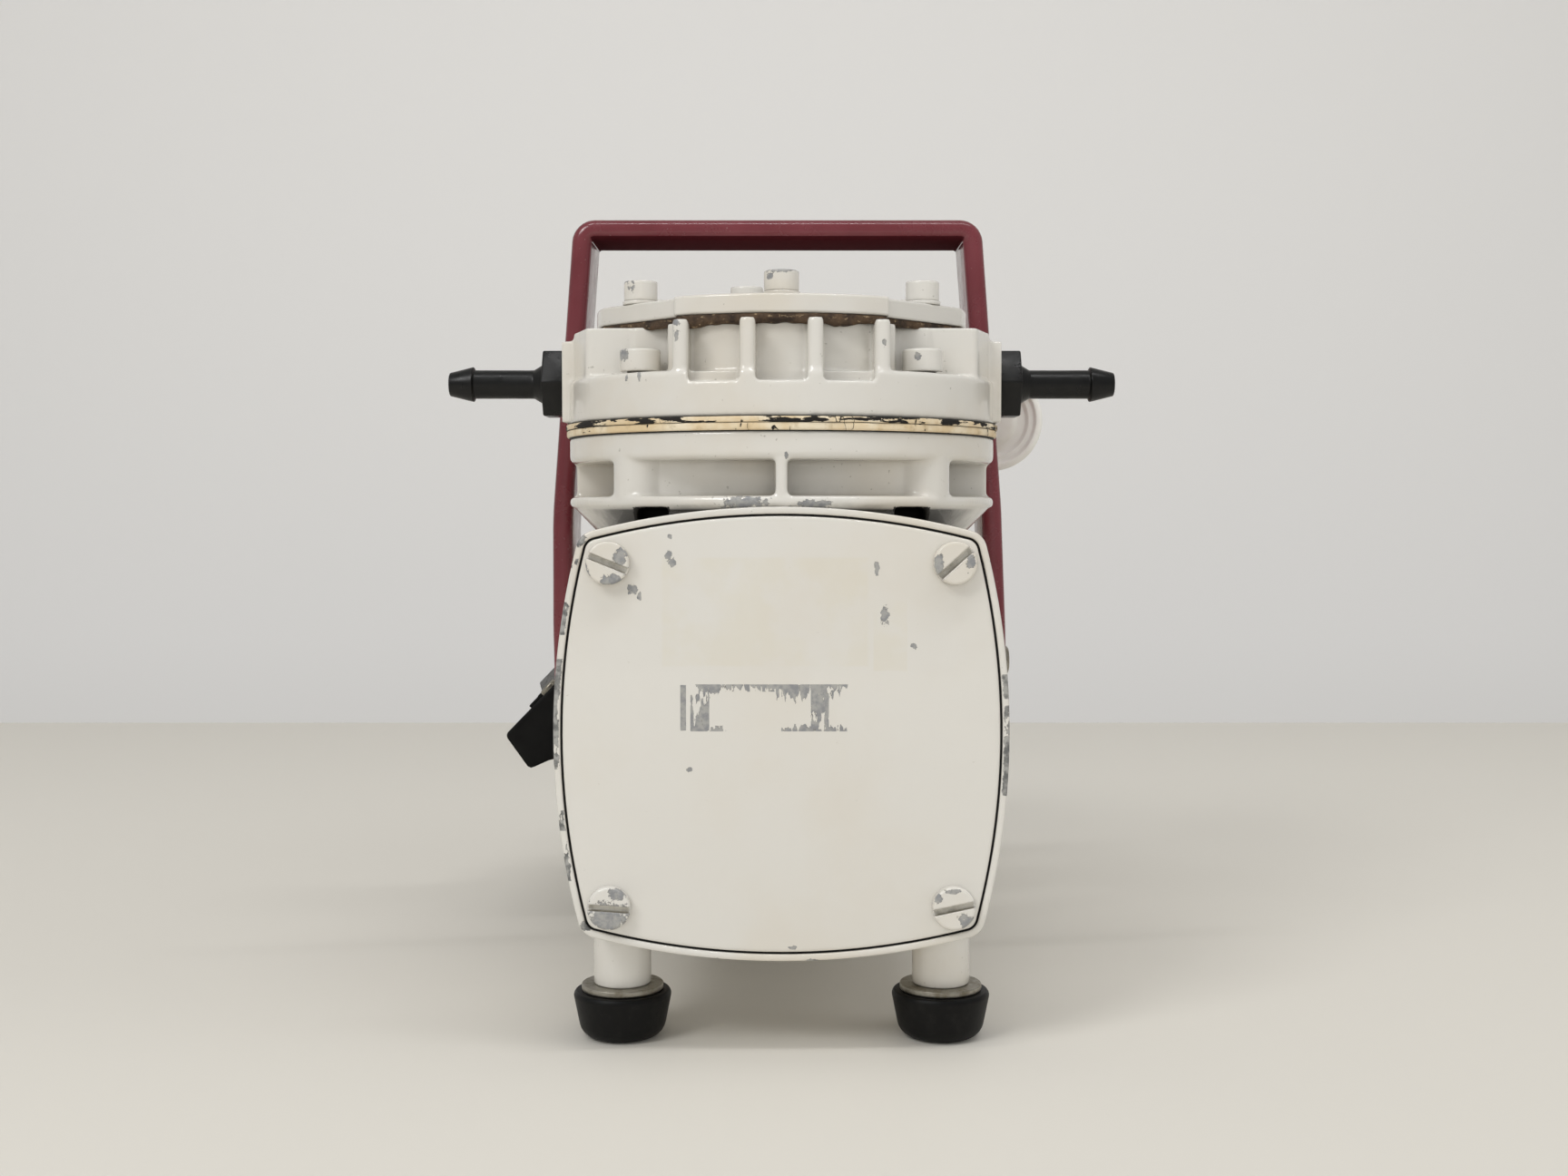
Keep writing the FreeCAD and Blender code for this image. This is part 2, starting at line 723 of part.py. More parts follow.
def head_body():
    """Cast head with fins, screw pockets, port blocks and valve pockets."""
    piece = body("head_body", y="pump_y", z="0")
    lathe_up(piece, [("0", "head_base"), ("head_radius", "head_base", "0.8"),
                     ("head_radius", "head_base_top", "1.2"), ("0", "head_base_top")])
    core = sketch(piece, "XY_Plane", "head_base + 4")
    circle(core, "0", "0", "head_core")
    add(piece, core, "head_tall - 4")
    fins = sketch(piece, "XY_Plane", "head_base + 4")
    for step in (-1.5, -0.5, 0.5, 1.5):
        middle = f"{step} * fin_pitch"
        reach = f"(sqrt(head_radius ^ 2 - ({middle}) ^ 2) - fin_setback)"
        left, right = f"{middle} - fin_width / 2", f"{middle} + fin_width / 2"
        outline(fins, [(left, f"-{reach}", "1.5"), (right, f"-{reach}", "1.5"),
                       (right, reach, "1.5"), (left, reach, "1.5")])
    add(piece, fins, "head_tall - 4.2")
    for side in SIDES:
        block = sketch(piece, "XY_Plane", "head_base + 4")
        reach = "sqrt(head_radius ^ 2 - (block_half / 2) ^ 2) - 1"
        outline(block, [(f"{side} * 30", "-block_half"), (f"{side} * block_outer", "-block_half", "1.5"),
                        (f"{side} * ({reach})", "-boss_half"), (f"{side} * ({reach})", "boss_half"),
                        (f"{side} * block_outer", "block_half", "1.5"), (f"{side} * 30", "block_half")])
        add(piece, block, "head_tall - 4")
        boss = sketch(piece, "XY_Plane", "head_base + 0.6")
        rectangle(boss, f"{side} * 30", f"{side} * boss_reach", "-boss_half", "boss_half")
        add(piece, boss, "head_tall - boss_drop - 0.6")
    floors = sketch(piece, "XY_Plane", "head_base_top - fin_floor_drop")
    wide = "(fin_pitch - fin_width) / 2"
    for middle in (-1, 0, 1):
        for side in SIDES:
            rectangle(floors, f"{middle} * fin_pitch - {wide}", f"{middle} * fin_pitch + {wide}",
                      f"{side} * head_core", f"{side} * (head_radius + 2)")
    cut(piece, floors, "fin_floor_drop + 1", reverse=True)
    wells = sketch(piece, "XY_Plane", "screw_seat")
    near, far, clear = (f"(head_screw_pitch {step})" for step in ("- screw_pocket", "+ screw_pocket", "+ 30"))
    for x, y in CORNERS:
        outline(wells, [(f"{x} * {near}", f"{y} * {near}", "3"), (f"{x} * {far}", f"{y} * {near}", "3"),
                        (f"{x} * {clear}", f"{y} * {clear}"), (f"{x} * {near}", f"{y} * {clear}")])
    cut(piece, wells, "head_tall", reverse=True)
    bores(piece, "XY_Plane", "screw_seat", head_screw_spots(), "head_screw_radius + 4 * fit")
    lathe_up(piece, [("0", "head_base - 1"), ("cylinder_radius", "head_base - 1"),
                     ("cylinder_radius", "head_base"), ("clamp_radius + 3", "chamber_top"),
                     ("0", "chamber_top")], groove=True)
    for side, floor in ((-1, "intake_floor"), (1, "exhaust_floor")):
        spot = f"{side} * valve_offset"
        bores(piece, "XY_Plane", "head_top", [(spot, "0")], "valve_pocket", f"head_top - {floor}")
        ring = "outer_ring" if side < 0 else "inner_ring"
        holes = [(f"{spot} + {x} * {ring}" if x else spot, f"{y} * {ring}" if y else "0")
                 for x, y in ((1, 0), (0, 1), (-1, 0), (0, -1))]
        bores(piece, "XY_Plane", floor, holes, "valve_hole", f"{floor} - chamber_top + 1")
        face = f"{side} * boss_reach"
        port = [("0", "port_height")]
        bores(piece, "YZ_Plane", face, port, "port_thread + fit", "port_thread_deep + 1", side < 0)
        bores(piece, "YZ_Plane", face, port, "seal_radius + fit", "seal_thick", side < 0)
        bores(piece, "YZ_Plane", face, port, "port_bore", "boss_reach - valve_offset", side < 0)
    bores(piece, "XY_Plane", "head_top", plate_screw_spots(), "plate_screw_radius + fit", "13")
    keep(piece)


def plate_screw_spots():
    """Give the spots of the six outer and two inner screws of the head cover."""
    half, side = "plate_screw_ring / 2", "plate_hole_side"
    outer = [("0", "-plate_screw_ring"), (side, f"-{half}"), (side, half),
             ("0", "plate_screw_ring"), (f"-{side}", half), (f"-{side}", f"-{half}")]
    return outer + [("-9", "-9"), ("9", "9")]


def plate_outline(drawing, inset="0"):
    """Draw the head cover: two lobes and two wings on one circle, with notches between."""
    radius = f"(plate_radius - {inset})"
    lobe = f"(lobe_half - {inset})"
    wing = f"(wing_half - {inset} / 2)"
    lobe_y = f"sqrt({radius} ^ 2 - {lobe} ^ 2)"
    wing_x = f"sqrt({radius} ^ 2 - {wing} ^ 2)"
    step = f"(lobe_step - {inset})"
    corners = [(lobe, f"-{step}"), (wing_x, f"-{wing}"), (wing_x, wing), (lobe, step),
               (lobe, lobe_y), (f"-{lobe}", lobe_y), (f"-{lobe}", step), (f"-{wing_x}", wing),
               (f"-{wing_x}", f"-{wing}"), (f"-{lobe}", f"-{step}"), (f"-{lobe}", f"-{lobe_y}"),
               (lobe, f"-{lobe_y}")]
    outline(drawing, corners, {1: radius, 4: radius, 7: radius, 10: radius})


def socket_screw(label, radius, length, head, head_tall, socket):
    """Socket head screw, its seat at the origin and its shank pointing down."""
    screw = body(label, y="0", z="0")
    lathe_up(screw, [("0", f"-({length})"), (radius, f"-({length})"), (radius, "0"), (head, "0"),
                     (head, head_tall, "0.5"), ("0", head_tall)])
    drive = sketch(screw, "XY_Plane", head_tall)
    hexagon(drive, socket)
    cut(screw, drive, f"({head_tall}) * 0.5")
    return screw


def head_cover():
    """Gasket and cover of the head with their screws and washers."""
    for label, base, thick, inset in (("head_gasket", "head_top", "gasket_thick", "0.4"),
                                      ("head_cover", "plate_base", "plate_thick", "0")):
        piece = body(label, y="pump_y", z="0")
        face = sketch(piece, "XY_Plane", base)
        plate_outline(face, inset)
        add(piece, face, thick)
        bores(piece, "XY_Plane", f"{base} + {thick}", plate_screw_spots(),
              "plate_screw_radius + 4 * fit")
        if label == "head_gasket":
            bores(piece, "XY_Plane", f"{base} + {thick}",
                  [(f"{side} * valve_offset", "0") for side in SIDES], "valve_pocket")
        keep(piece)
    spots = [(x, f"pump_y + {y}") for x, y in plate_screw_spots()]
    washer = body("plate_washer", y="0", z="0")
    lathe_up(washer, [("plate_screw_radius + 2 * fit", "0"), ("washer_radius", "0"),
                      ("washer_radius", "washer_thick"),
                      ("plate_screw_radius + 2 * fit", "washer_thick")])
    copies("head_cover_washers", washer, [(x, y, "plate_top", None) for x, y in spots])
    screw = socket_screw("plate_screw", "plate_screw_radius", "plate_screw_length",
                         "plate_screw_head", "plate_screw_head_tall", "4")
    copies("head_cover_screws", screw,
           [(x, y, "plate_top + washer_thick", Rotation(Vector(0, 0, 1), 17 * index))
            for index, (x, y) in enumerate(spots)])
    screw = socket_screw("head_screw", "head_screw_radius", "head_screw_length",
                         "head_screw_head", "head_screw_head_tall", "5")
    copies("head_clamp_screws", screw,
           [(x, y, "screw_seat", None) for x, y in head_screw_spots("pump_y")])


def valves():
    """Two free valve discs, the seat above the intake disc and the stop of the exhaust disc."""
    for side, label, floor in ((-1, "intake", "intake_floor"), (1, "exhaust", "exhaust_floor")):
        disc = body(f"{label}_valve_disc", f"{side} * valve_offset", "pump_y", floor)
        lathe_up(disc, [("0", "valve_gap"), ("valve_radius", "valve_gap", "0.3"),
                        ("valve_radius", "valve_gap + valve_thick", "0.3"),
                        ("0", "valve_gap + valve_thick")])
        keep(disc)
    room = "valve_thick + valve_lift + 2 * valve_gap"
    outer = "valve_pocket - fit"
    seat = body("intake_valve_seat", "-valve_offset", "pump_y", "intake_floor")
    top = "head_top - intake_floor"
    lathe_up(seat, [("0", room), (outer, room), (outer, top), ("throat_radius", top),
                    ("throat_radius", f"{room} + 2"), ("0", f"{room} + 2")])
    bores(seat, "XY_Plane", f"{room} + 2",
          [("inner_ring", "0"), ("0", "inner_ring"), ("-inner_ring", "0"), ("0", "-inner_ring")],
          "valve_hole", "3")
    port = [("0", "port_height - intake_floor")]
    bores(seat, "YZ_Plane", "-valve_pocket - 1", port, "port_bore", "valve_pocket", reverse=True)
    keep(seat)
    stop = body("exhaust_valve_stop", "valve_offset", "pump_y", "exhaust_floor")
    top = "head_top - exhaust_floor"
    step = "port_height + port_bore + 1 - exhaust_floor"
    lathe_up(stop, [("0", room), ("valve_radius", room), ("valve_radius", step), (outer, step),
                    (outer, top), ("throat_radius", top), ("throat_radius", f"{step} + 2"),
                    ("0", f"{step} + 2")])
    keep(stop)


def nozzles():
    """Two barbed hose nozzles screwed into the head, each with a flat seal."""
    for side, label in ((1, "outlet_nozzle"), (-1, "inlet_nozzle")):
        spin = Rotation(Vector(0, 0, 1), 90 - 90 * side)
        piece = body(label, f"{side} * boss_reach", "pump_y", "port_height", spin)
        nut = sketch(piece, "YZ_Plane")
        hexagon(nut, "nozzle_hex")
        add(piece, nut, "nozzle_hex_long")
        stem_end = "nozzle_hex_long + nozzle_stem_long"
        drawing = sketch(piece, "XZ_Plane")
        outline(drawing, [("-port_thread_deep", "0"), ("-port_thread_deep", "port_thread"),
                          ("1", "port_thread"), ("nozzle_hex_long", "nozzle_stem + 1.5"),
                          ("nozzle_hex_long + 2.5", "nozzle_stem"), (stem_end, "nozzle_stem"),
                          (stem_end, "nozzle_barb"),
                          (f"{stem_end} + nozzle_barb_long", "nozzle_tip"),
                          (f"{stem_end} + nozzle_barb_long", "0")])
        turn(piece, drawing, axis="H_Axis")
        bore = sketch(piece, "YZ_Plane")
        circle(bore, "0", "0", "nozzle_bore")
        cut(piece, bore, both=True)
        keep(piece)
    seal = body("nozzle_seal", y="0", z="0")
    for_seal = sketch(seal, "YZ_Plane")
    circle(for_seal, "0", "0", "seal_radius")
    circle(for_seal, "0", "0", "port_thread + fit")
    add(seal, for_seal, "seal_thick", both=True)
    copies("nozzle_seals", seal,
           [(f"{side} * (boss_reach - seal_thick / 2)", "pump_y", "port_height", None)
            for side in SIDES])


def connecting_rod():
    """Rod with its big end round the eccentric's bearing, in the pin's own frame."""
    piece = body("connecting_rod", y="front_y", z="pin_height")
    beam = sketch(piece, "XZ_Plane", "pump_depth - rod_thick / 2")
    outline(beam, [("-rod_width / 2", "0"), ("rod_width / 2", "0"),
                   ("rod_head / 2", "rod_reach - 2"), ("-rod_head / 2", "rod_reach - 2")])
    add(piece, beam, "rod_thick", back=True)
    disc_back(piece, "0", "0", "big_end_radius", "pump_depth - rod_bearing_width / 2",
              "rod_bearing_width")
    for start in ("pump_depth - rod_thick / 2", "pump_depth + rod_web / 2"):
        hollow = sketch(piece, "XZ_Plane", start)
        outline(hollow, [("-rod_width / 2 + 3", "big_end_radius + 3"),
                         ("rod_width / 2 - 3", "big_end_radius + 3"),
                         ("rod_head / 2 - 3", "rod_reach - 12"),
                         ("-rod_head / 2 + 3", "rod_reach - 12")])
        cut(piece, hollow, "(rod_thick - rod_web) / 2")
    head = sketch(piece, "XY_Plane", "rod_reach - 8")
    circle(head, "0", "pump_depth", "rod_head * 0.7")
    add(piece, head, "8")
    bores(piece, "XZ_Plane", "0", [("0", "0")], "rod_bearing_radius")
    bores(piece, "XY_Plane", "rod_reach", [("0", "pump_depth")], "head_screw_radius + fit", "13")
    keep(piece)
    for label, inner, outer in (
            ("rod_bearing_inner_ring", "eccentric_radius", "eccentric_radius + bearing_ring"),
            ("rod_bearing_outer_ring", "eccentric_radius + bearing_ring + bearing_gap",
             "rod_bearing_radius")):
        ring(label, inner, outer, "pump_depth - rod_bearing_width / 2", "rod_bearing_width",
             "pin_height")


def ring(label, inner, outer, start, length, height="axis_height"):
    """Plain ring about the axis that runs rearwards."""
    piece = body(label, z=height)
    face = sketch(piece, "XZ_Plane", start)
    circle(face, "0", "0", outer)
    circle(face, "0", "0", inner)
    add(piece, face, length, back=True)
    return keep(piece)


def eccentric():
    """Eccentric with its counterweight and hub, and the screw that holds it."""
    piece = body("eccentric")
    disc_back(piece, "0", "-crank_throw", "eccentric_radius", "eccentric_depth",
              "weight_depth - eccentric_depth")
    weight = sketch(piece, "XZ_Plane", "weight_depth")
    side = "counterweight_radius * 0.92"
    low = "counterweight_radius * 0.39"
    outline(weight, [("-hub_radius", "-hub_radius"), ("hub_radius", "-hub_radius"), (side, low),
                     (f"-{side}", low)], {2: "counterweight_radius"})
    add(piece, weight, "counterweight_thick", back=True)
    disc_back(piece, "0", "0", "hub_radius", "hub_depth", "hub_length")
    bores(piece, "XZ_Plane", "0", [("0", "0")], "shaft_radius")
    bores(piece, "XY_Plane", "hub_radius", [("0", "hub_depth + hub_length / 2")], "2.5",
          "hub_radius - shaft_radius + 1")
    keep(piece)
    screw = body("eccentric_set_screw", y="front_y + hub_depth + hub_length / 2")
    lathe_up(screw, [("0", "shaft_radius"), ("2.5 - fit", "shaft_radius"),
                     ("2.5 - fit", "hub_radius - 0.5"), ("0", "hub_radius - 0.5")])
    keep(screw)


def rotor():
    """Motor shaft, rotor core, bearings' inner rings and cooling fan."""
    shaft = body("motor_shaft")
    front_end = "front_bearing_depth + front_bearing_width"
    lathe_back(shaft, [("eccentric_depth - 2", "0"), ("eccentric_depth - 2", "shaft_radius", "0.6"),
                       ("front_bearing_depth", "shaft_radius"),
                       ("front_bearing_depth", "front_bearing_seat"),
                       (front_end, "front_bearing_seat"), (front_end, "core_shaft"),
                       ("rear_bearing_depth", "core_shaft"),
                       ("rear_bearing_depth", "rear_bearing_seat"),
                       ("fan_depth - 1", "rear_bearing_seat"), ("fan_depth - 1", "fan_seat"),
                       ("fan_depth + fan_width", "fan_seat"), ("fan_depth + fan_width", "0")])
    keep(shaft)
    ring("rotor_core", "core_shaft", "rotor_radius", "core_depth", "core_length")
    for end in ("front", "rear"):
        seat, start, width = (f"{end}_bearing_seat", f"{end}_bearing_depth", f"{end}_bearing_width")
        ring(f"{end}_bearing_inner_ring", seat, f"{seat} + bearing_ring", start, width)
        ring(f"{end}_bearing_outer_ring", f"{seat} + bearing_ring + bearing_gap",
             f"{end}_bearing_radius", start, width)
    fan = body("cooling_fan")
    disc_back(fan, "0", "0", "fan_seat + 5", "fan_depth", "fan_width")
    disc_back(fan, "0", "0", "fan_radius * 0.6", "fan_depth", "2")
    blade = sketch(fan, "XZ_Plane", "fan_depth")
    rectangle(blade, "fan_seat + 3", "fan_radius", "-0.9", "0.9")
    feature = add(fan, blade, "fan_width", back=True)
    repeat(fan, [feature], blade, 9)
    bores(fan, "XZ_Plane", "fan_depth - 1", [("0", "0")], "fan_seat")
    keep(fan)


def motor_shields():
    """Front shield with the handle's ears, and rear shield with the fan cover's register."""
    front = body("motor_front_shield")
    lathe_back(front, [("case_depth - rear_wall + 2", "front_bearing_seat + bearing_ring + 0.5"),
                       ("case_depth - rear_wall + 2", "rear_bore - fit"),
                       ("case_depth", "rear_bore - fit"), ("case_depth", "motor_radius", "1"),
                       ("motor_depth", "motor_radius", "1"),
                       ("motor_depth", "front_bearing_radius + 6"),
                       ("motor_depth", "front_bearing_seat + bearing_ring + 0.5")])
    ears = sketch(front, "XZ_Plane", "case_depth")
    outline(ears, [("-ear_reach", "-ear_half", "2"), ("ear_reach", "-ear_half", "2"),
                   ("ear_reach", "ear_half", "2"), ("-ear_reach", "ear_half", "2")])
    add(front, ears, "shield_thick", back=True)
    bores(front, "XZ_Plane", "0", [("0", "0")], "front_bearing_seat + bearing_ring + 0.5")
    bores(front, "XZ_Plane", "front_bearing_depth", [("0", "0")], "front_bearing_radius")
    bores(front, "XZ_Plane", "0", tie_spots(), "tie_radius + 3 * fit")
    for side in SIDES:
        bores(front, "YZ_Plane", f"{side} * ear_reach", handle_screw_spots(),
              "foot_screw_radius + fit", "14", side < 0)
    keep(front)
    rear = body("motor_rear_shield")
    lathe_back(rear, [("shield_depth", "0"), ("shield_depth", "motor_radius", "1"),
                      ("fan_cover_depth", "motor_radius"),
                      ("fan_cover_depth", "motor_radius - sheet_thick - fit"),
                      ("fan_cover_depth + 5", "motor_radius - sheet_thick - fit"),
                      ("fan_cover_depth + 5", "motor_radius - sheet_thick - register_thick"),
                      ("fan_cover_depth", "motor_radius - sheet_thick - register_thick"),
                      ("fan_cover_depth", "0")])
    bores(rear, "XZ_Plane", "0", [("0", "0")], "core_shaft + 0.5")
    bores(rear, "XZ_Plane", "rear_bearing_depth", [("0", "0")], "rear_bearing_radius")
    bores(rear, "XZ_Plane", "0", tie_spots(), "tie_radius + 3 * fit")
    keep(rear)


def handle_screw_spots():
    """Give the two screw spots at each end of the handle, as depth and height."""
    depth = "motor_depth - shield_thick / 2"
    return [(depth, "handle_screw_pitch"), (depth, "-handle_screw_pitch")]


def motor_housing():
    """Finned motor shell with rear foot posts and the pads of the box and bracket."""
    piece = body("motor_housing")
    disc_back(piece, "0", "0", "motor_shell", "motor_depth", "motor_length")
    fin = sketch(piece, "XZ_Plane", "motor_depth")
    rectangle(fin, "motor_shell - 1", "motor_radius", "-cooling_fin_width / 2",
              "cooling_fin_width / 2")
    feature = add(piece, fin, "motor_length", back=True)
    repeat(piece, [feature], fin, 36)
    pad = sketch(piece, "XZ_Plane", "box_depth")
    rectangle(pad, "-box_inner", "-motor_shell + 3", "-box_seat_drop", "box_top")
    add(piece, pad, "box_length", back=True)
    seat = sketch(piece, "XZ_Plane", "bracket_foot_depth")
    corners = []
    for reach, half in (("motor_shell - 3", -1), ("motor_shell - 3", 1),
                        ("bracket_seat", 1), ("bracket_seat", -1)):
        across = f"{half} * bracket_width / 2"
        corners.append((f"({reach}) * lean_x + {across} * lean_z",
                        f"({reach}) * lean_z - {across} * lean_x"))
    outline(seat, corners)
    add(piece, seat, "bracket_foot", back=True)
    posts = sketch(piece, "XY_Plane", "foot_post_base - axis_height")
    rear_feet = [(f"{side} * foot_offset", "foot_rear_depth") for side in SIDES]
    for x, y in rear_feet:
        circle(posts, x, y, "foot_post_radius")
    add(piece, posts, "foot_post_tall + 5")
    bores(piece, "XZ_Plane", "0", [("0", "0")], "stator_radius")
    bores(piece, "XZ_Plane", "0", tie_spots(), "tie_radius + 2 * fit")
    bores(piece, "XY_Plane", "foot_post_base - axis_height", rear_feet, "foot_screw_radius + fit",
          "14", reverse=True)
    taps = sketch(piece, "XY_Plane")
    taps.AttachmentOffset = Placement(Vector(), Rotation(Vector(0, 1, 0), CAPACITOR_TILT))
    bind(taps, "AttachmentOffset.Base.x", "bracket_seat * lean_x")
    bind(taps, "AttachmentOffset.Base.z", "bracket_seat * lean_z")
    for x, y in bracket_screw_spots():
        circle(taps, x, y, "1.6 + fit")
    cut(piece, taps, "8")
    keep(piece)


def bracket_screw_spots():
    """Give the two screw spots of the bracket's foot, as distance across and depth."""
    depth = "bracket_foot_depth + bracket_foot / 2 - bracket_thick"
    return [("-6", depth), ("6", depth)]


def motor_inside():
    """Stator core, its two winding ends, and the four through bolts."""
    ring("stator_core", "rotor_radius + air_gap", "stator_radius", "core_depth", "core_length")
    coil = body("winding_end", y="0", z="0")
    face = sketch(coil, "XZ_Plane")
    circle(face, "0", "0", "winding_outer")
    circle(face, "0", "0", "winding_inner")
    add(coil, face, "winding_long", back=True)
    copies("stator_windings", coil,
           [("0", "front_y + core_depth - winding_long", "axis_height", None),
            ("0", "front_y + core_depth + core_length", "axis_height", None)])
    bolt = body("tie_bolt", y="0", z="0")
    shank = "fan_cover_depth - case_depth + rear_wall - 1"
    lathe_back(bolt, [("0", "0"), ("0", "tie_head", "0.4"), ("tie_head_tall", "tie_head"),
                      ("tie_head_tall", "0")])
    lathe_back(bolt, [(f"-({shank})", "0"), (f"-({shank})", "tie_radius"), ("1", "tie_radius"),
                      ("1", "0")])
    copies("motor_tie_bolts", bolt,
           [(x, "front_y + fan_cover_depth", f"axis_height + {z}", None) for x, z in tie_spots()])


def fan_cover():
    """Sheet cover over the fan with a ring grille in its end, and its three screws."""
    piece = body("fan_cover")
    end = "fan_cover_depth + fan_cover_length"
    inner = "motor_radius - sheet_thick"
    lathe_back(piece, [("fan_cover_depth", inner), ("fan_cover_depth", "motor_radius"),
                       (end, "motor_radius", "4"), (end, "0"), (f"{end} - sheet_thick", "0"),
                       (f"{end} - sheet_thick", inner, "2.5")])
    for index, ring_at in enumerate(("18", "28", "38")):
        hole = sketch(piece, "XZ_Plane", f"{end} - sheet_thick - 1")
        rectangle(hole, "-grille_hole", "grille_hole", f"{ring_at} - 4", f"{ring_at} + 4")
        feature = cut(piece, hole)
        repeat(piece, [feature], hole, 10 + 6 * index)
    keep(piece)
    cover_screw_holes(piece)
    cover_screw_holes(doc.getObject("motor_rear_shield"))
    screw = body("cover_screw", y="0", z="0")
    lathe_up(screw, [("0", "-2.4"), ("1.5", "-2.4"), ("1.5", "0"), ("3", "0"), ("3", "1.6", "0.8"),
                     ("0", "1.6")])
    spots = []
    for angle in (0, 120, 240):
        across, up = math.sin(math.radians(angle)), math.cos(math.radians(angle))
        spots.append((f"{across:.6f} * motor_radius", "front_y + fan_cover_depth + 2.5",
                      f"axis_height + {up:.6f} * motor_radius", Rotation(Vector(0, 1, 0), angle)))
    copies("fan_cover_screws", screw, spots)


def cover_screw_holes(piece):
    """Drill the three radial holes of the fan cover's screws."""
    axis = sketch(piece, "XZ_Plane", "fan_cover_depth")
    circle(axis, "0", "0", "1")
    feature = bores(piece, "XY_Plane", "motor_radius + 1", [("0", "fan_cover_depth + 2.5")],
                    "1.5 + fit", "sheet_thick + 4")
    repeat(piece, [feature], axis, 3)


def handle():
    """Carrying handle bent from flat strip, and its four screws."""
    piece = body("handle", z="0")
    strip = sketch(piece, "XZ_Plane", "handle_depth")
    outer = [("handle_low_reach", "handle_end"), ("handle_low_reach", "handle_low_height"),
             ("handle_mid_reach", "handle_mid_height"),
             ("handle_top_reach", "handle_top_height", "handle_corner")]
    inner = [("handle_top_reach - handle_thick", "handle_top_height - handle_thick", "handle_corner"),
             ("handle_mid_reach - handle_thick", "handle_mid_height"),
             ("handle_low_reach - handle_thick", "handle_low_height"),
             ("handle_low_reach - handle_thick", "handle_end")]
    right = outer + inner
    mirror = [(f"-({corner[0]})",) + corner[1:] for corner in outer[::-1]]
    mirror_inner = [(f"-({corner[0]})",) + corner[1:] for corner in inner[::-1]]
    outline(strip, right[:4] + mirror + mirror_inner + right[4:])
    add(piece, strip, "handle_width", back=True)
    spots = [(depth, f"axis_height + {height}") for depth, height in handle_screw_spots()]
    for side in SIDES:
        bores(piece, "YZ_Plane", f"{side} * (handle_low_reach + 1)", spots,
              "foot_screw_radius + 4 * fit", "handle_thick + 2", side < 0)
    keep(piece)
    screw = body("handle_screw", y="0", z="0")
    lathe_up(screw, [("0", "-(handle_thick + 12)"), ("foot_screw_radius", "-(handle_thick + 12)"),
                     ("foot_screw_radius", "0"), ("4.6", "0"), ("4.6", "2.2", "1.6"), ("0", "2.2")])
    places = []
    for side in SIDES:
        for depth, height in handle_screw_spots():
            places.append((f"{side} * handle_low_reach", f"front_y + {depth}",
                           f"axis_height + {height}", Rotation(Vector(0, 1, 0), 90 * side)))
    copies("handle_screws", screw, places)


def feet():
    """Rubber feet with their washers and screws, under the four posts."""
    spots = [(f"{side} * foot_offset", f"front_y + {depth}")
             for depth in ("foot_front_depth", "foot_rear_depth") for side in SIDES]
    rubber = body("rubber_foot", y="0", z="0")
    lathe_up(rubber, [("foot_screw_radius + fit", "4"), ("5.5", "4"), ("5.5", "0"),
                      ("foot_low_radius", "0", "4"), ("foot_top_radius", "foot_tall", "1"),
                      ("foot_screw_radius + fit", "foot_tall")])
    copies("rubber_feet", rubber, [(x, y, "0", None) for x, y in spots])
    washer = body("foot_washer", y="0", z="0")
    lathe_up(washer, [("foot_screw_radius + 2 * fit", "0"), ("foot_washer_radius", "0"),
                      ("foot_washer_radius", "foot_washer_thick"),
                      ("foot_screw_radius + 2 * fit", "foot_washer_thick")])
    copies("foot_washers", washer, [(x, y, "foot_tall", None) for x, y in spots])
    screw = body("foot_screw", y="0", z="0")
    lathe_up(screw, [("0", "4 - 2.5"), ("4.5", "4 - 2.5", "0.8"), ("4.5", "4"),
                     ("foot_screw_radius", "4"), ("foot_screw_radius", "foot_post_base + 12"),
                     ("0", "foot_post_base + 12")])
    copies("foot_screws", screw, [(x, y, "0", None) for x, y in spots])


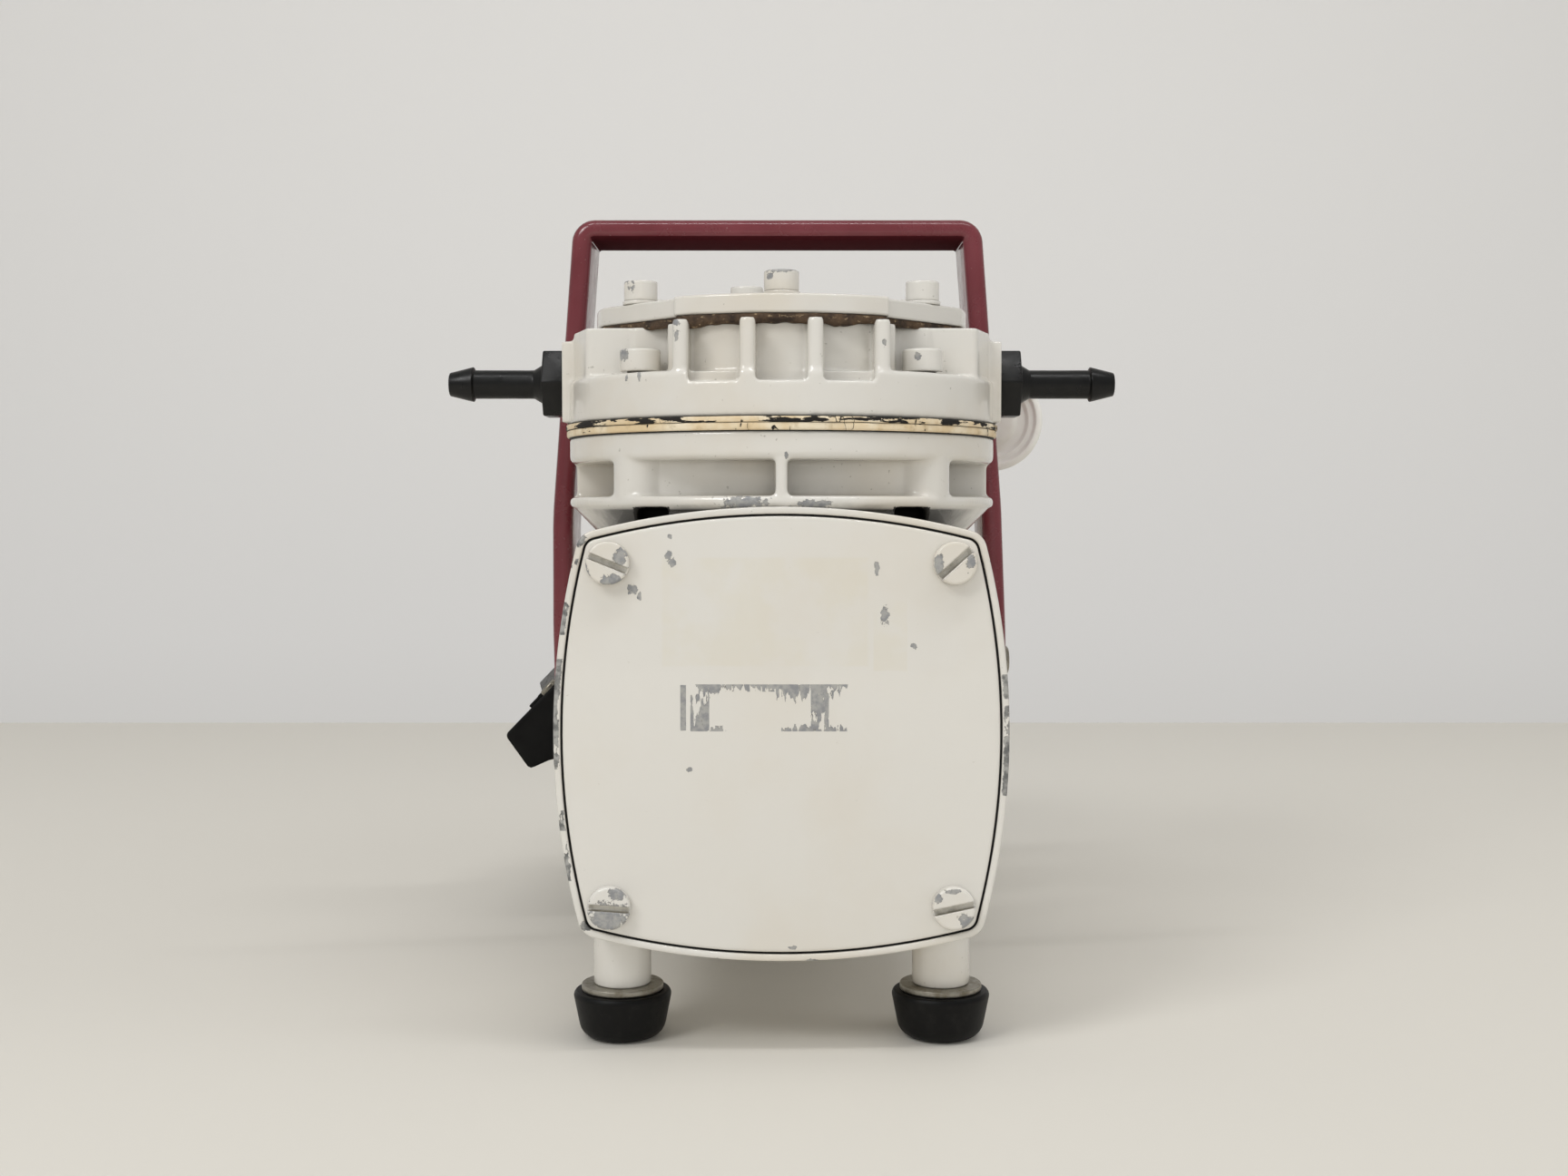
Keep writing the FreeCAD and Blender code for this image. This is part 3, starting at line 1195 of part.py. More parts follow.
def capacitor():
    """Run capacitor, with the angle bracket that carries its stud, the nut and two screws."""
    can = body("capacitor", "capacitor_side", "front_y", "capacitor_height")
    start, end = "capacitor_depth", "capacitor_depth + capacitor_length"
    lathe_back(can, [(f"{start} + 1", "0"), (f"{start} + 1", "capacitor_radius * 0.5"),
                     (f"{start} + 1.8", "capacitor_radius * 0.55"),
                     (f"{start} + 1.8", "capacitor_radius * 0.82"),
                     (start, "capacitor_radius * 0.86", "0.3"), (start, "capacitor_radius", "1.6"),
                     (f"{end}", "capacitor_radius", "2"), (f"{end}", "4"),
                     (f"{end} + bracket_thick + 9", "4"), (f"{end} + bracket_thick + 9", "0")])
    keep(can)
    lean = Rotation(Vector(0, 1, 0), CAPACITOR_TILT)
    bracket = body("capacitor_bracket", turn=lean)
    plate = sketch(bracket, "XZ_Plane", "bracket_depth")
    half = "bracket_width / 2"
    outline(plate, [(f"-{half}", "bracket_seat"), (half, "bracket_seat"),
                    (half, "capacitor_reach + 9", "9"), (f"-{half}", "capacitor_reach + 9", "9")])
    add(bracket, plate, "bracket_thick", back=True)
    foot = sketch(bracket, "XZ_Plane", "bracket_foot_depth")
    rectangle(foot, f"-{half}", half, "bracket_seat", "bracket_seat + bracket_thick")
    add(bracket, foot, "bracket_foot", back=True)
    bores(bracket, "XZ_Plane", "bracket_depth - 1", [("0", "capacitor_reach")], "4 + 2 * fit")
    bores(bracket, "XY_Plane", "bracket_seat + bracket_thick", bracket_screw_spots(), "1.7",
          "bracket_thick + 1")
    keep(bracket)
    nut = body("capacitor_nut", "capacitor_side", "front_y + bracket_depth + bracket_thick",
               "capacitor_height")
    face = sketch(nut, "XZ_Plane")
    hexagon(face, "13")
    add(nut, face, "5", back=True)
    bores(nut, "XZ_Plane", "0", [("0", "0")], "4")
    keep(nut)
    screw = body("bracket_screw", y="0", z="0")
    lathe_up(screw, [("0", "-6"), ("1.6", "-6"), ("1.6", "0"), ("3", "0"), ("3", "2", "1"),
                     ("0", "2")])
    lift = "(bracket_seat + bracket_thick)"
    places = [(f"{lift} * lean_x + {across} * lean_z", f"front_y + {depth}",
               f"axis_height + {lift} * lean_z - {across} * lean_x", lean)
              for across, depth in bracket_screw_spots()]
    copies("bracket_screws", screw, places)


def switch_box():
    """Moulded box on the motor's flank with its rocker switch and cable gland."""
    shell = body("switch_box_shell")
    side = sketch(shell, "XZ_Plane", "box_depth")
    outline(side, [("-box_inner", "-box_seat_drop"), ("-box_under_reach", "-box_under_drop"),
                   ("-box_low_reach", "-box_low_drop", "1.5"),
                   ("-box_tip_reach", "-box_tip_drop", "1.5"),
                   ("-box_shoulder", "box_top", "1.5"), ("-box_inner", "box_top")])
    add(shell, side, "box_length", back=True)
    bores(shell, "XZ_Plane", "box_depth + box_length - 10", [("-gland_side", "-gland_drop")],
          "gland_radius + fit")
    slope = Rotation(Vector(0, 1, 0), BOX_TILT)
    spot = ("-slope_x", "front_y + box_depth + box_length / 2", "axis_height + slope_z")
    well = body("switch_well", *spot, turn=slope)
    mouth = sketch(well, "XY_Plane", "-switch_deep - fit")
    half_wide, half_long = "(switch_wide / 2 - 2)", "(switch_long / 2 - 1)"
    rectangle(mouth, f"-{half_wide} - fit", f"{half_wide} + fit", f"-{half_long} - fit",
              f"{half_long} + fit")
    add(well, mouth, "switch_deep + 5")
    lid_screws = [("0", "lid_screw_pitch"), ("0", "-lid_screw_pitch")]
    taps = sketch(well, "XY_Plane", "-9")
    for x, y in lid_screws:
        circle(taps, x, y, "1.5 + fit")
    add(well, taps, "14")
    box = doc.addObject("Part::Cut", "switch_box")
    box.Base = shell
    box.Tool = well
    keep(box)
    frame = body("switch_frame", *spot, turn=slope)
    rim = sketch(frame, "XY_Plane")
    rectangle(rim, "-switch_wide / 2", "switch_wide / 2", "-switch_long / 2", "switch_long / 2")
    add(frame, rim, "switch_rim")
    sleeve = sketch(frame, "XY_Plane", "-switch_deep")
    rectangle(sleeve, f"-{half_wide}", half_wide, f"-{half_long}", half_long)
    add(frame, sleeve, "switch_deep")
    window = sketch(frame, "XY_Plane", "switch_rim")
    room_wide = "(rocker_wide / 2 + rocker_gap)"
    room_long = "(rocker_long / 2 + 2 * rocker_gap)"
    rectangle(window, f"-{room_wide}", room_wide, f"-{room_long}", room_long)
    cut(frame, window, "switch_rim + switch_deep - 1.5")
    keep(frame)
    rocker = body("switch_rocker", *spot,
                  turn=slope * Rotation(Vector(1, 0, 0), number("rocker_tilt")))
    profile = sketch(rocker, "YZ_Plane")
    half = "rocker_long / 2"
    outline(profile, [("-6", "-6"), ("6", "-6"), (half, "0"), (half, "3.6", "0.6"), ("0", "1.9"),
                      (f"-{half}", "3.6", "0.6"), (f"-{half}", "0")])
    add(rocker, profile, "rocker_wide", both=True)
    keep(rocker)
    rear = "box_depth + box_length"
    gland = body("cable_gland", "-gland_side", "front_y", "axis_height - gland_drop")
    flange = sketch(gland, "XZ_Plane", rear)
    hexagon(flange, "gland_hex")
    add(gland, flange, "4", back=True)
    lathe_back(gland, [(f"{rear} - 9", "0"), (f"{rear} - 9", "gland_radius"),
                       (f"{rear} + 7", "gland_radius"), (f"{rear} + 7", "0")])
    bores(gland, "XZ_Plane", f"{rear} - 10", [("0", "0")], "gland_bore")
    keep(gland)
    cap = body("cable_gland_cap", "-gland_side", "front_y", "axis_height - gland_drop")
    skirt = sketch(cap, "XZ_Plane", f"{rear} + 4.3")
    hexagon(skirt, "gland_hex")
    add(cap, skirt, "8", back=True)
    lathe_back(cap, [(f"{rear} + 10", "0"), (f"{rear} + 10", "gland_radius"),
                     (f"{rear} + 18", "gland_radius", "3"), (f"{rear} + 18", "0")])
    bores(cap, "XZ_Plane", f"{rear} + 4.3", [("0", "0")], "gland_bore")
    bores(cap, "XZ_Plane", f"{rear} + 4.3", [("0", "0")], "gland_radius + fit", "2.8")
    keep(cap)


    screw = body("lid_screw", y="0", z="0")
    lathe_up(screw, [("0", "-8"), ("1.5", "-8"), ("1.5", "0"), ("3", "0"), ("3", "1.8", "0.8"),
                     ("0", "1.8")])
    copies("switch_box_screws", screw,
           [(spot[0], f"{spot[1]} + {y}", spot[2], slope) for x, y in lid_screws])


def check_and_export():
    """Refuse any failed object, then write each node's solids."""
    doc.recompute()
    failed = [item.Name for item in doc.Objects
              if any(word in state for state in item.State for word in ("Invalid", "Error"))]
    if failed:
        raise RuntimeError("failed objects: " + ", ".join(failed))
    os.makedirs("parts", exist_ok=True)
    for item in NODES:
        if item.Shape.isNull() or not item.Shape.isValid():
            raise RuntimeError("bad shape: " + item.Label)
        item.Shape.exportStep(f"parts/{item.Label}.step")
        print(f"{item.Label}: {len(item.Shape.Solids)} solids, {item.Shape.Volume:.0f} mm3")


crankcase()
front_cover()
diaphragm_stack()
head_body()
head_cover()
valves()
nozzles()
connecting_rod()
eccentric()
rotor()
motor_shields()
motor_housing()
motor_inside()
fan_cover()
handle()
feet()
capacitor()
switch_box()
check_and_export()
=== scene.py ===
"""Looks of a small diaphragm vacuum pump: cream enamelled castings, maroon handle, black fittings."""
import json
import logging
import math
from dataclasses import dataclass
from enum import Enum
from typing import Iterable, Optional, Sequence, Union

import bmesh
import bpy
from bmesh.types import BMEdge, BMesh
from bpy.types import Material, MeshVertex, Node, NodeSocket, NodeTree, Object
from mathutils import Matrix, Vector, noise


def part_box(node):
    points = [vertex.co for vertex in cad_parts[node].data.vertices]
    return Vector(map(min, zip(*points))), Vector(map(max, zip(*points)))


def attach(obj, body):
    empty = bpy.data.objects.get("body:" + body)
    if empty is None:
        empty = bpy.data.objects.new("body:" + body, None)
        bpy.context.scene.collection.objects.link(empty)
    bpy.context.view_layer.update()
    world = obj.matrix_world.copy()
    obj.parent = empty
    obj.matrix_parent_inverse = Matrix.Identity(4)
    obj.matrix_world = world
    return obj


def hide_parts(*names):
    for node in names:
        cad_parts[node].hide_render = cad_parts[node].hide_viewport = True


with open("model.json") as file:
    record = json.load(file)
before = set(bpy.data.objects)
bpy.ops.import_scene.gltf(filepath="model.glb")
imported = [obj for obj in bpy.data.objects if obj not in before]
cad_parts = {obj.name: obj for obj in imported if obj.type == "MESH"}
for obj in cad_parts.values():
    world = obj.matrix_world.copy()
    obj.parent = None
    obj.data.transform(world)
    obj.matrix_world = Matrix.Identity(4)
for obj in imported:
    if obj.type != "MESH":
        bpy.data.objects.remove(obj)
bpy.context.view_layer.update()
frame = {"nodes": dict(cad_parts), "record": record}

MM = 0.001
LOG = logging.getLogger("pump")
Corner = tuple
# A socket, or the constant that a socket gets.
Value = Union[float, Sequence[float], NodeSocket]
# How far the rim's outer face lies outside the front cover's edge, in millimetres.
RIM_MARGIN = 2.5


class Body(Enum):
    """The rigid bodies that pieces ride on."""

    HOUSING = "housing"
    ROTOR = "motor_rotor"
    ROD = "rod"
    ROCKER = "rocker"


class Axis(Enum):
    """Directions that turned pieces are turned about."""

    UP = (0.0, 0.0, 1.0)
    BACK = (0.0, 1.0, 0.0)
    RIGHT = (1.0, 0.0, 0.0)


@dataclass(frozen=True)
class Layout:
    """Reference places of the pump, read from the frame, in millimetres."""

    front: float
    axis_z: float
    pump_y: float
    rim_half: float
    neck_top: float
    case_back: float

    @staticmethod
    def read() -> "Layout":
        """Read the places that the pieces are built around.

        Returns:
            The layout in millimetres.
        """
        cover_low, cover_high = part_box("front_cover")
        head_low, head_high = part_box("head_body")
        case_low, case_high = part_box("crankcase")
        return Layout(
            front=case_low[1] / MM,
            axis_z=(cover_low[2] + cover_high[2]) / 2 / MM,
            pump_y=(head_low[1] + head_high[1]) / 2 / MM,
            rim_half=(cover_high[0] - cover_low[0]) / 2 / MM + RIM_MARGIN,
            neck_top=case_high[2] / MM,
            case_back=case_high[1] / MM,
        )


PLACE = Layout.read()


def linear(code: str) -> tuple:
    """Turn an sRGB hex colour into linear values.

    Args:
        code: Six hex digits.

    Returns:
        Red, green, blue and alpha.
    """
    values = [int(code[index:index + 2], 16) / 255 for index in (0, 2, 4)]
    return tuple(v / 12.92 if v <= 0.04045 else ((v + 0.055) / 1.055) ** 2.4 for v in values) + (1.0,)


def add_node(tree: NodeTree, kind: str, inputs: Optional[dict] = None, **settings) -> Node:
    """Add a node with its settings and links.

    Args:
        tree: Node tree to add to.
        kind: Type of node, without its ShaderNode prefix.
        inputs: Values or sockets, by the input's name or number.
        **settings: Properties of the node.

    Returns:
        The new node.
    """
    node = tree.nodes.new("ShaderNode" + kind)
    for name, value in settings.items():
        setattr(node, name, value)
    for key, value in (inputs or {}).items():
        if isinstance(value, NodeSocket):
            tree.links.new(value, node.inputs[key])
        else:
            node.inputs[key].default_value = value
    return node


def per_mm(size: float) -> float:
    """Give the texture scale whose features are about that many millimetres across."""
    return 1 / (size * MM)


class Painter:
    """Builds the node tree of one material."""

    def __init__(self, name: str) -> None:
        """Start a material with its shader and object coordinates."""
        self.material = bpy.data.materials.new(name)
        self.material.use_nodes = True
        self.tree = self.material.node_tree
        self.shader = self.tree.nodes["Principled BSDF"]
        self.where = add_node(self.tree, "TexCoord").outputs["Object"]

    def noise(self, size: float, detail: float = 3, roughness: float = 0.55,
              stretch: Optional[Corner] = None) -> NodeSocket:
        """Give a noise socket.

        Args:
            size: Size of its features in millimetres.
            detail: Number of finer layers.
            roughness: Weight of the finer layers.
            stretch: Scale along each axis, where it isn't even.

        Returns:
            The noise's value socket.
        """
        where = self.where
        if stretch:
            where = add_node(self.tree, "Mapping", {0: where, "Scale": stretch}).outputs[0]
        inputs = {"Vector": where, "Scale": per_mm(size), "Detail": detail, "Roughness": roughness}
        return add_node(self.tree, "TexNoise", inputs).outputs[0]

    def ramp(self, value: NodeSocket, low: float, high: float, start: float = 0.0,
             end: float = 1.0) -> NodeSocket:
        """Map a value between low and high to start and end, clamped and smooth."""
        inputs = {0: value, 1: low, 2: high, 3: start, 4: end}
        node = add_node(self.tree, "MapRange", inputs, interpolation_type="SMOOTHSTEP")
        return node.outputs[0]

    def patches(self, grain: Sequence, low: float, high: float, start: float = 0.0,
                end: float = 1.0) -> NodeSocket:
        """Give a mask of irregular patches.

        Args:
            grain: What noise() takes: size in millimetres, detail, roughness and stretch.
            low: Noise at which a patch starts to show.
            high: Noise at which it is full.
            start: Value outside the patches.
            end: Value inside them.

        Returns:
            The mask's socket.
        """
        return self.ramp(self.noise(*grain), low, high, start, end)

    def mottle(self, grain: Sequence, low: float, high: float, first: str, second: str) -> NodeSocket:
        """Mix two hex colours in irregular patches, which patches() explains."""
        return self.mix(self.patches(grain, low, high), linear(first), linear(second))

    def over(self, mask: NodeSocket, colour: NodeSocket, code: str) -> NodeSocket:
        """Lay a hex colour over a colour where a mask is."""
        return self.mix(mask, colour, linear(code))

    def scatter(self, grain: Sequence, width: float) -> NodeSocket:
        """Give uneven offsets about zero, spread over a width, from noise of a grain."""
        return self.math("MULTIPLY", self.math("SUBTRACT", self.noise(*grain), 0.5), width)

    def axes(self) -> Sequence[NodeSocket]:
        """Give the sockets of x, y and z."""
        return add_node(self.tree, "SeparateXYZ", {0: self.where}).outputs

    def math(self, operation: str, first: Value, second: Value = 0.0) -> NodeSocket:
        """Give the result of a math operation on two values."""
        return add_node(self.tree, "Math", {0: first, 1: second}, operation=operation).outputs[0]

    def mix(self, amount: Value, first: Value, second: Value) -> NodeSocket:
        """Mix two colours."""
        inputs = {0: amount, 6: first, 7: second}
        return add_node(self.tree, "Mix", inputs, data_type="RGBA").outputs[2]

    def blend(self, amount: Value, first: Value, second: Value) -> NodeSocket:
        """Mix two values."""
        return add_node(self.tree, "Mix", {0: amount, 2: first, 3: second}).outputs[0]

    def edges(self, radius: float, low: float = 0.02, high: float = 0.25) -> NodeSocket:
        """Give a mask of the sharp edges, from normals smoothed over a radius in millimetres."""
        soft = add_node(self.tree, "Bevel", {"Radius": radius * MM}, samples=6).outputs[0]
        hard = add_node(self.tree, "NewGeometry").outputs["Normal"]
        dot = add_node(self.tree, "VectorMath", {0: soft, 1: hard}, operation="DOT_PRODUCT")
        return self.ramp(self.math("SUBTRACT", 1.0, dot.outputs["Value"]), low, high)

    def hollows(self, distance: float) -> NodeSocket:
        """Give a mask of the corners from ambient occlusion within a distance in millimetres, for painted
        shade and dirt.
        """
        node = add_node(self.tree, "AmbientOcclusion", {"Distance": distance * MM}, samples=6)
        return self.ramp(node.outputs["AO"], 0.9, 0.35)

    def box(self, low: Sequence[float], high: Sequence[float]) -> NodeSocket:
        """Give a mask of a box in the front's plane, between two (x, z) corners in millimetres."""
        centre = ((low[0] + high[0]) / 2 * MM, 0, (low[1] + high[1]) / 2 * MM)
        half = ((high[0] - low[0]) / 2 * MM, 1, (high[1] - low[1]) / 2 * MM)
        inputs = {"Vector": self.where, "Location": centre, "Scale": half}
        local = add_node(self.tree, "Mapping", inputs, vector_type="TEXTURE").outputs[0]
        local = add_node(self.tree, "VectorMath", {0: local}, operation="ABSOLUTE").outputs[0]
        split = add_node(self.tree, "SeparateXYZ", {0: local}).outputs
        return self.ramp(self.math("MAXIMUM", split[0], split[2]), 1.0, 0.95)

    def spots(self, places: Sequence[Corner], ragged: float = 1.1) -> NodeSocket:
        """Give a mask of ragged spots, each (x, y, z) with its half sizes, in millimetres."""
        nearest = None
        for place in places:
            inputs = {"Vector": self.where, "Location": [v * MM for v in place[:3]],
                      "Scale": [v * MM for v in place[3:]]}
            local = add_node(self.tree, "Mapping", inputs, vector_type="TEXTURE").outputs[0]
            away = add_node(self.tree, "VectorMath", {0: local}, operation="LENGTH").outputs["Value"]
            nearest = away if nearest is None else self.math("MINIMUM", nearest, away)
        nearest = self.math("ADD", nearest, self.scatter((1.3, 4, 0.7), 2.6 * ragged))
        return self.ramp(nearest, 1.0, 0.8)

    def bump(self, height: NodeSocket, strength: float, distance: float,
             normal: Optional[NodeSocket] = None) -> NodeSocket:
        """Give a normal socket bumped by a height, with its depth in millimetres."""
        inputs = {"Height": height, "Strength": strength, "Distance": distance * MM}
        if normal is not None:
            inputs["Normal"] = normal
        return add_node(self.tree, "Bump", inputs).outputs[0]

    def finish(self, **sockets) -> Material:
        """Set the shader's inputs.

        Args:
            **sockets: Value or socket by the input's name in lower case with low lines.

        Returns:
            The finished material.
        """
        names = {item.name.lower().replace(" ", "_"): item for item in self.shader.inputs}
        for name, value in sockets.items():
            if isinstance(value, NodeSocket):
                self.tree.links.new(value, names[name])
            else:
                names[name].default_value = value
        return self.material


@dataclass(frozen=True)
class CreamEnamel:
    """Thick off-white enamel sprayed on cast aluminium.

    It looks glossy and faintly orange-peeled, yellowed in places, darkened in the corners by dirt
    and painted shade, and chipped to dull grey metal on the edges.
    """

    name: str
    base: str = "d7d4cd"
    aged: str = "d3ccbf"
    grime_and_shade: str = "8d897d"
    metal: str = "858688"
    wear: float = 0.5
    dirt_and_shade: float = 0.35
    soft_edges: float = 0.7
    chips: tuple = ()

    def ground(self, paint: Painter) -> NodeSocket:
        """Give the colour of the sound paint, with its yellowing, specks, and corners darkened by dirt and
        painted shade.
        """
        yellowing = paint.patches((38, 4), 0.42, 0.75)
        colour = paint.mix(yellowing, linear(self.base), linear(self.aged))
        specks = paint.patches((1.5, 2), 0.71, 0.76, 0, 0.5)
        colour = paint.over(specks, colour, self.grime_and_shade)
        # Corners found by ambient occlusion are darkened in patches: painted shade mixed with dirt.
        if self.dirt_and_shade:
            corners = paint.math("MULTIPLY", paint.hollows(4), paint.patches((5, 4), 0.3, 0.7))
            colour = paint.over(paint.math("MULTIPLY", corners, self.dirt_and_shade), colour, self.grime_and_shade)
        return colour

    def losses(self, paint: Painter) -> NodeSocket:
        """Give the mask of the places where the paint is gone."""
        edge = paint.math("MULTIPLY", paint.edges(self.soft_edges, 0.01, 0.12), 0.32)
        rough = paint.math("ADD", paint.noise(2.4, 5, 0.7), edge)
        rough = paint.math("ADD", rough, paint.math("MULTIPLY", paint.noise(17, 2), 0.4))
        start = 1.10 - 0.16 * self.wear
        chip = paint.ramp(rough, start, start + 0.015)
        if self.chips:
            chip = paint.math("MAXIMUM", chip, paint.spots(self.chips))
        return chip

    def material(self) -> Material:
        """Build the material.

        Returns:
            The enamel with its chips, stains and orange peel.
        """
        paint = Painter(self.name)
        colour = self.ground(paint)
        chip = self.losses(paint)
        bare = paint.mottle((1.6, 3), 0.35, 0.65, self.metal, "a09f9b")
        # A dark line round each chip: the broken edge of the paint film, with painted shade at its step.
        rim = paint.ramp(chip, 0.0, 0.4, 0, 0.9)
        colour = paint.over(rim, colour, "403e39")
        colour = paint.mix(paint.ramp(chip, 0.45, 0.95), colour, bare)
        peel = paint.bump(paint.noise(2.6, 2), 0.10, 0.25)
        sunk = paint.bump(paint.math("SUBTRACT", 1.0, chip), 0.5, 0.12, peel)
        shine = paint.patches((9, 3), 0.3, 0.7, 0.15, 0.26)
        return paint.finish(base_color=colour, roughness=paint.blend(chip, shine, 0.5), normal=sunk,
                            ior=1.5, coat_weight=0.45, coat_roughness=0.06)


@dataclass(frozen=True)
class RimEnamel(CreamEnamel):
    """Cream enamel of the crankcase, knocked off in strips along the rim's outer side edges."""

    bulge: float = 178.0
    band: float = 1.35
    left: tuple = ((114.5, 117.5), (99.5, 107.5), (67.5, 94.5), (53.5, 58.5), (41.5, 51.5))
    right: tuple = ((84.5, 90.5), (61.5, 83.5))

    def losses(self, paint: Painter) -> NodeSocket:
        """Give the mask of the chips and of the worn strips on the rim."""
        chip = super().losses(paint)
        x, y, z = paint.axes()
        across = paint.math("ADD", paint.math("ABSOLUTE", x), (self.bulge - PLACE.rim_half) * MM)
        up = paint.math("SUBTRACT", z, PLACE.axis_z * MM)
        reach = add_node(paint.tree, "CombineXYZ", {0: across, 1: up}).outputs[0]
        reach = add_node(paint.tree, "VectorMath", {0: reach}, operation="LENGTH").outputs["Value"]
        reach = paint.math("ADD", reach, paint.scatter((1.3, 4), 1.6 * MM))
        edge = paint.ramp(reach, (self.bulge - self.band) * MM, (self.bulge - self.band + 0.08) * MM)
        front = paint.ramp(y, (PLACE.front + 2.2) * MM, (PLACE.front + 1.4) * MM)
        places = [((-60, low), (-40, high)) for low, high in self.left]
        places += [((40, low), (60, high)) for low, high in self.right]
        most = 0.0
        for low, high in places:
            most = paint.math("MAXIMUM", paint.box(low, high), most)
        strips = paint.math("ADD", paint.noise(3, 3, 0.6, (1, 1, 0.5)), paint.math("MULTIPLY", most, 0.6))
        strips = paint.ramp(strips, 1.0, 1.02)
        worn = paint.math("MULTIPLY", paint.math("MULTIPLY", edge, front), strips)
        return paint.math("MAXIMUM", chip, worn)


@dataclass(frozen=True)
class NeckEnamel(CreamEnamel):
    """Cream enamel of the neck, darkened nearly to black beside the gaps under its lower flange by painted
    shade and oily dirt.
    """

    shade_span: tuple = (52.0, 39.0)
    flange_low: float = 129.6

    def ground(self, paint: Painter) -> NodeSocket:
        """Give the colour of the sound paint with the painted shade and oily dirt in the hollow."""
        across, _, up = paint.axes()
        # The paint goes near black towards the gaps under the flange: painted shade with oily dirt.
        inward = paint.math("ADD", paint.math("ABSOLUTE", across), paint.scatter((6, 4), 8 * MM))
        inward = paint.ramp(inward, self.shade_span[0] * MM, self.shade_span[1] * MM)
        below = paint.ramp(up, self.flange_low * MM, (self.flange_low - 0.9) * MM)
        gap_shade = paint.math("MULTIPLY", inward, below)
        return paint.mix(gap_shade, super().ground(paint), linear("2b2925"))


@dataclass(frozen=True)
class CoverEnamel(CreamEnamel):
    """Cream enamel of the flat cover, flaked in streaks where a plate was torn off.

    A faint yellow film marks where tape has been, and the paint is otherwise smooth and even.
    """

    tape: tuple = ()
    streaks: tuple = ()

    def ground(self, paint: Painter) -> NodeSocket:
        """Give the colour of the sound paint with the film that the tape left."""
        yellowing = paint.patches((38, 4), 0.42, 0.75, 0, 0.5)
        colour = paint.mix(yellowing, linear(self.base), linear(self.aged))
        for low, high in self.tape:
            film = paint.math("MULTIPLY", paint.box(low, high), paint.patches((13, 4), 0.4, 0.6))
            colour = paint.over(paint.math("MULTIPLY", film, 0.13), colour, "cfc39a")
        scuffs = paint.patches((2.2, 6, 0.75, (0.6, 1, 1.5)), 0.66, 0.72, 0, 0.45)
        return paint.over(scuffs, colour, "a39c8b")

    def losses(self, paint: Painter) -> NodeSocket:
        """Give the mask of the flaked streaks and of the single chips."""
        up = paint.axes()[2]
        most = 0.0
        for low, high, start, end in self.streaks:
            amount = paint.ramp(up, low[1] * MM, high[1] * MM, start, end)
            most = paint.math("MAXIMUM", paint.math("MULTIPLY", paint.box(low, high), amount), most)
        flakes = paint.math("ADD", paint.noise(1.15, 3, 0.55, (1, 1, 0.3)), most)
        return paint.math("MAXIMUM", paint.ramp(flakes, 1.0, 1.03), paint.spots(self.chips, 1.3))


@dataclass(frozen=True)
class MaroonEnamel:
    """Glossy maroon stove enamel on bent steel strip: deep wet shine with fine dust specks."""

    name: str = "maroon stove enamel"
    base: str = "67292f"
    light: str = "76353c"
    dull: bool = False

    def material(self) -> Material:
        """Build the material."""
        paint = Painter(self.name)
        # The darker, dull copy goes on faces facing down: painted shade under the strip.
        if self.dull:
            return paint.finish(base_color=linear(self.base), roughness=0.95, specular_ior_level=0.02)
        colour = paint.mottle((30, 3), 0.35, 0.7, self.base, self.light)
        dust = paint.patches((0.9, 3, 0.7), 0.68, 0.76, 0, 0.4)
        colour = paint.over(dust, colour, "b59a94")
        peel = paint.bump(paint.noise(3.0, 2), 0.08, 0.3)
        return paint.finish(base_color=colour, roughness=paint.patches((6, 4), 0.3, 0.7, 0.16, 0.30),
                            normal=peel, specular_ior_level=0.4, coat_weight=0.25, coat_roughness=0.05)


@dataclass(frozen=True)
class CrackedPaint:
    """Old paint over rubber: tan and brittle, cracked across and flaked off to black rubber."""

    name: str
    paint: str = "d8c19a"
    pale: str = "e6d9bf"
    rubber: str = "17130f"
    flaked: float = 0.3

    def material(self) -> Material:
        """Build the material."""
        paint = Painter(self.name)
        colour = paint.mottle((9, 4), 0.35, 0.65, self.paint, self.pale)
        stain = paint.patches((2.5, 5, 0.7), 0.5, 0.75, 0, 0.45)
        colour = paint.over(stain, colour, "a08a62")
        line = paint.math("ABSOLUTE", paint.math("SUBTRACT", paint.noise(9, 3, 0.6, (1, 1, 0.4)), 0.5))
        cracks = paint.math("MULTIPLY", paint.ramp(line, 0.003, 0.007, 1, 0),
                            paint.patches((13, 1), 0.5, 0.53))
        loss = paint.noise(8, 5, 0.66, (0.6, 0.6, 3))
        start = 0.66 - 0.2 * self.flaked
        gone = paint.math("MAXIMUM", paint.ramp(loss, start, start + 0.012), cracks)
        colour = paint.over(gone, colour, self.rubber)
        normal = paint.bump(paint.math("SUBTRACT", 1.0, gone), 0.6, 0.25,
                            paint.bump(paint.noise(1.2, 4), 0.35, 0.3))
        return paint.finish(base_color=colour, roughness=paint.blend(gone, 0.5, 0.8), normal=normal)


@dataclass(frozen=True)
class Rubber:
    """Moulded nitrile rubber: near black, matt, with a dusty bloom and fine pitting."""

    name: str
    base: str = "161615"
    dust: str = "55524c"
    bloom: float = 0.35

    def material(self) -> Material:
        """Build the material."""
        paint = Painter(self.name)
        amount = paint.patches((3.5, 5, 0.7), 0.45, 0.8, 0, self.bloom)
        colour = paint.mix(amount, linear(self.base), linear(self.dust))
        normal = paint.bump(paint.noise(0.8, 3), 0.25, 0.15)
        roughness = paint.ramp(amount, 0, 0.4, 0.48, 0.8)
        return paint.finish(base_color=colour, roughness=roughness, normal=normal, specular_ior_level=0.2)


